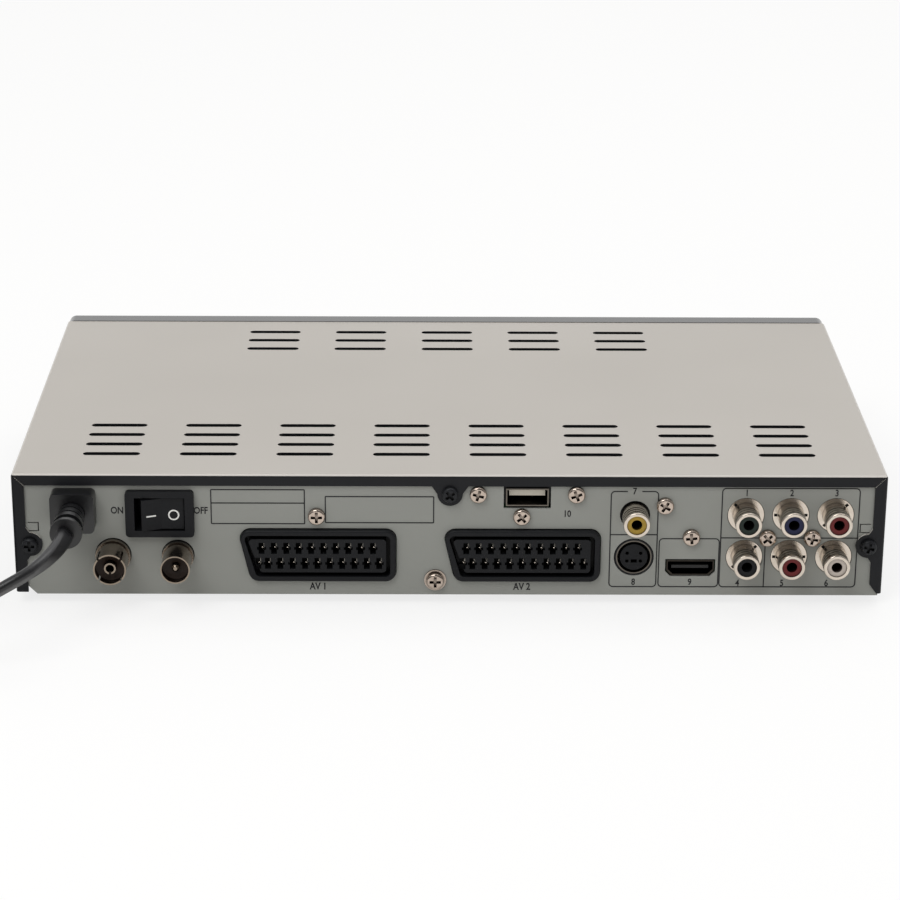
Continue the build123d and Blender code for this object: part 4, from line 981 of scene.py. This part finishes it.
# Turned pieces: a closed ring about the Y axis from points given as radius and depth
def turned(profile, middle, steps):
    bm = bmesh.new()
    rings = []
    for number in range(steps):
        angle = 2 * pi * number / steps
        x, z = cos(angle), sin(angle)
        rings.append([bm.verts.new((middle[0] + r * x, y, middle[1] + r * z)) for r, y in profile])
    count = len(profile)
    for n in range(steps):
        first, second = rings[n], rings[(n + 1) % steps]
        for k in range(count):
            j = (k + 1) % count
            bm.faces.new((first[k], first[j], second[j], second[k]))
    bmesh.ops.recalc_face_normals(bm, faces=bm.faces)
    return bm


insulator_depth = 2.6 * MM
insulator_thick = 1.5 * MM
insulator_dish = 0.8 * MM
insulator_steps = 40
# Where the dish turns, as shares of the outer radius and of the depth
dish_turn_shares = (0.7, 0.6)
# Inner and outer radius in each socket
insulator_radii = {
    "antenna_in_socket": (1.85 * MM, 4.5 * MM),
    "antenna_out_socket": (1.2 * MM, 4.05 * MM),
}


def make_insulators():
    """Dished insulating discs inside the aerial sockets, round their middle contacts."""
    whole = bmesh.new()
    for name, (inner, outer) in insulator_radii.items():
        low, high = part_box(name)
        middle = ((low.x + high.x) / 2, (low.z + high.z) / 2)
        front = low.y + insulator_depth
        back = front + insulator_thick
        profile = (
            (inner, front + insulator_dish),
            (outer * dish_turn_shares[0], front + insulator_dish * dish_turn_shares[1]),
            (outer, front),
            (outer, back),
            (inner, back),
        )
        mesh = mesh_from(turned(profile, middle, insulator_steps), "disc")
        whole.from_mesh(mesh)
        bpy.data.meshes.remove(mesh)
    mesh = mesh_from(whole, "aerial_insulators")
    piece("aerial_insulators", mesh, "insulator")


make_insulators()


# Plug: a moulded two-pin body with finger ridges, and the sleeves on its pins.
# Stations along it with half its width and half its thickness, in millimetres
plug_stations = (
    (0, 5.6, 4.8),
    (1.5, 7.0, 6.0),
    (4, 8.6, 6.6),
    (18.7, 16.9, 6.8),
    (22, 17.4, 6.6),
    (31.5, 17.4, 6.4),
    (33.4, 16.8, 6.0),
    (34, 16.0, 5.4),
)
ridge_span = (5.5, 17.5)
ridge_pitch = 2.4
ridge_depth = 0.55
ridge_thick_share = 0.7
plug_length = plug_stations[-1][0]
plug_rings = 85
plug_sides = 48
plug_corner_power = 0.42
pin_sleeve_radius = 2.12 * MM
pin_sleeve_length = 9.5 * MM
pin_spread = 19 * MM
sleeve_core = 0.1 * MM
sleeve_chamfer = 0.3 * MM
sleeve_steps = 28


def plug_size(along):
    """Half width and half thickness of the plug at a distance from its cord end, in millimetres."""
    for first, second in zip(plug_stations, plug_stations[1:]):
        if along <= second[0]:
            share = (along - first[0]) / (second[0] - first[0])
            wide = first[1] + share * (second[1] - first[1])
            thick = first[2] + share * (second[2] - first[2])
            break
    if ridge_span[0] < along < ridge_span[1]:
        wave = (1 - cos(2 * pi * (along - ridge_span[0]) / ridge_pitch)) / 2
        wide -= ridge_depth * wave
        thick -= ridge_depth * wave * ridge_thick_share
    return wide, thick


def plug_frame():
    """The plug's place: its cord end at the lead's end, pointing along it."""
    way = (lead_points[-1] - lead_points[-2]).normalized()
    aside = Vector((0, 0, 1)).cross(way)
    turn = Matrix((way, aside, Vector((0, 0, 1)))).transposed().to_4x4()
    return Matrix.Translation(lead_points[-1]) @ turn


def make_plug():
    bm = bmesh.new()
    rings = []
    for number in range(plug_rings + 1):
        along = plug_length * number / plug_rings
        wide, thick = plug_size(along)
        ring = []
        for k in range(plug_sides):
            angle = 2 * pi * k / plug_sides
            # A superellipse: flat sides with well-rounded corners
            c, n = cos(angle), sin(angle)
            y = wide * abs(c) ** plug_corner_power * (1 if c > 0 else -1)
            z = thick * abs(n) ** plug_corner_power * (1 if n > 0 else -1)
            ring.append(bm.verts.new(Vector((along, y, z)) * MM))
        rings.append(ring)
    skin(bm, rings)
    mesh = mesh_from(bm, "plug_body")
    mesh.transform(plug_frame())
    smooth(mesh)
    body = piece("plug_body", mesh, "plug_vinyl")
    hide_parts("mains_plug")
    sleeves = bmesh.new()
    for side in (-1, 1):
        profile = (
            (sleeve_core, 0),
            (pin_sleeve_radius, 0),
            (pin_sleeve_radius, pin_sleeve_length - sleeve_chamfer),
            (pin_sleeve_radius - sleeve_chamfer, pin_sleeve_length),
            (sleeve_core, pin_sleeve_length),
        )
        mesh = mesh_from(turned(profile, (0, 0), sleeve_steps), "sleeve")
        mesh.transform(Matrix.Rotation(-pi / 2, 4, "Z"))
        mesh.transform(Matrix.Translation((plug_length * MM, side * pin_spread / 2, 0)))
        sleeves.from_mesh(mesh)
        bpy.data.meshes.remove(mesh)
    mesh = mesh_from(sleeves, "pin_sleeves")
    mesh.transform(plug_frame())
    return body, piece("pin_sleeves", mesh, "plug_vinyl")


plug_body, pin_sleeves = make_plug()
